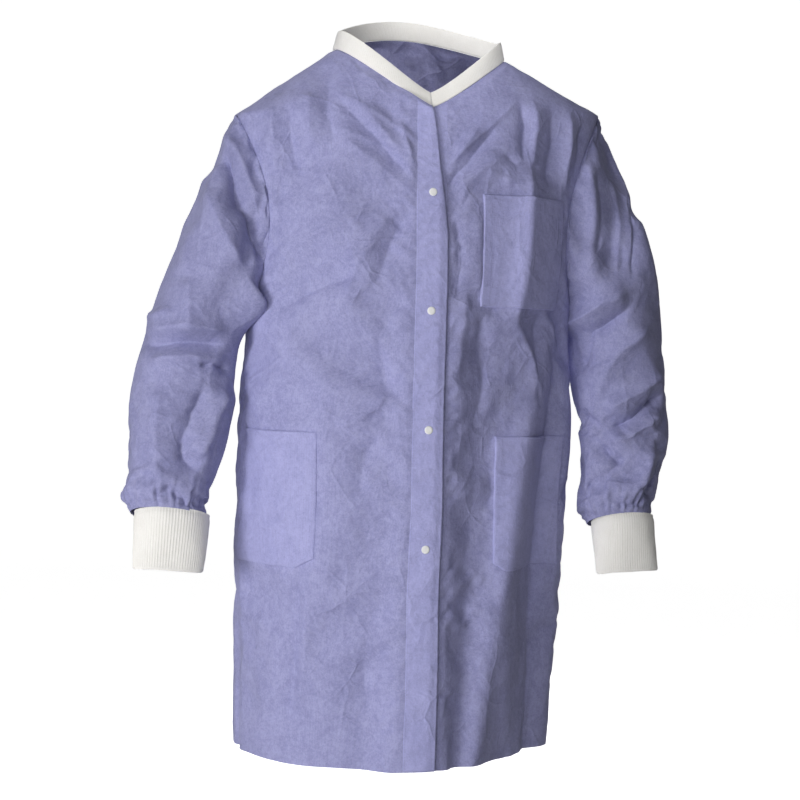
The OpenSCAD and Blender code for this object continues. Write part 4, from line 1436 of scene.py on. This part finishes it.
def make_stage():
    """Pale round floor curving up into a wall all the way round."""
    rows, cols = 30, 72
    flat_r, bend_r, wall_h = 5.0, 1.6, 6.0
    bend = np.linspace(0, math.pi / 2, rows - 2)
    radius = np.concatenate([[0.001], flat_r + bend_r * np.sin(bend), [flat_r + bend_r]])
    height = np.concatenate([[0.0], bend_r * (1 - np.cos(bend)), [wall_h]])
    around = np.arange(cols) * 2 * math.pi / cols
    verts = [(r * math.cos(a), r * math.sin(a), FLOOR_Z + h)
             for r, h in zip(radius, height) for a in around]
    obj = solid("floor", verts, quads(rows, cols))
    obj.data.materials.append(floor_material())


# Name, place, point aimed at, size in metres, power in watts.
AREA_LIGHTS = (
    ("key", (-2.35, -1.84, 0.50), (0.0, 0.0, 0.45), 0.9, 42.5),
    ("fill", (-0.90, -1.84, 0.40), (0.0, 0.0, 0.45), 0.9, 10),
    ("front", (-0.35, -2.00, 2.10), (0.0, 0.0, 0.60), 0.7, 7),
    ("top", (-0.2, 0.4, 2.9), (0.0, 0.0, 0.6), 1.6, 7),
    ("rear", (0.9, 2.6, 1.2), (0.0, 0.0, 0.50), 1.4, 52),
)


def aimed_light(name, kind, place, target, power_w):
    """Light at a place, turned towards a target."""
    data = bpy.data.lights.new(name, kind)
    data.energy = power_w
    obj = new_object(name, data)
    obj.location = place
    obj.rotation_euler = (Vector(target) - Vector(place)).to_track_quat("-Z", "Y").to_euler()
    return obj


def make_lights():
    """Soft key from the viewer's left, weak fill, and a narrow light into the neck."""
    for name, place, target, size, power_w in AREA_LIGHTS:
        obj = aimed_light(name, "AREA", place, target, power_w)
        obj.data.shape, obj.data.size = "DISK", size
        obj.visible_camera = False
    neck = aimed_light("neck", "SPOT", (0.30, -1.40, 2.00), (0.02, 0.07, 0.94), 68).data
    neck.spot_size, neck.spot_blend, neck.shadow_soft_size = math.radians(12.5), 0.9, 0.12


def make_world():
    """White to the camera, a faint cool light to everything else."""
    world = bpy.data.worlds.new("studio")
    bpy.context.scene.world = world
    world.use_nodes = True
    tree = world.node_tree
    seen = tree.nodes["Background"]
    plug(tree, seen, {"Color": (1, 1, 1, 1), "Strength": 1.0})
    ambient = add(tree, "ShaderNodeBackground")
    plug(tree, ambient, {"Color": (0.93, 0.95, 1.0, 1), "Strength": 0.04})
    choose = add(tree, "ShaderNodeMixShader")
    plug(tree, choose, {0: add(tree, "ShaderNodeLightPath").outputs["Is Camera Ray"],
                        1: ambient.outputs[0], 2: seen.outputs[0]})
    link(tree, choose.outputs[0], tree.nodes["World Output"].inputs[0])


def make_camera():
    """Camera at eye distance, a little to the viewer's left of the coat's middle."""
    side_angle = math.radians(12)
    distance, height = 2.300, 0.550
    target = Vector((-0.009, 0.0, 0.478))
    place = Vector((target.x - distance * math.sin(side_angle),
                    -distance * math.cos(side_angle), height))
    data = bpy.data.cameras.new("camera")
    data.lens = 75.0
    data.sensor_width = 36.0
    obj = new_object("camera", data)
    aim = (target - place).to_track_quat("-Z", "Y").to_matrix()
    roll = Matrix.Rotation(math.radians(2), 3, "Z")
    obj.matrix_world = Matrix.Translation(place) @ (aim @ roll).to_4x4()
    bpy.context.scene.camera = obj


make_stage()
make_lights()
make_world()
make_camera()
bpy.context.scene.view_settings.view_transform = "Standard"
bpy.context.scene.view_settings.look = "None"
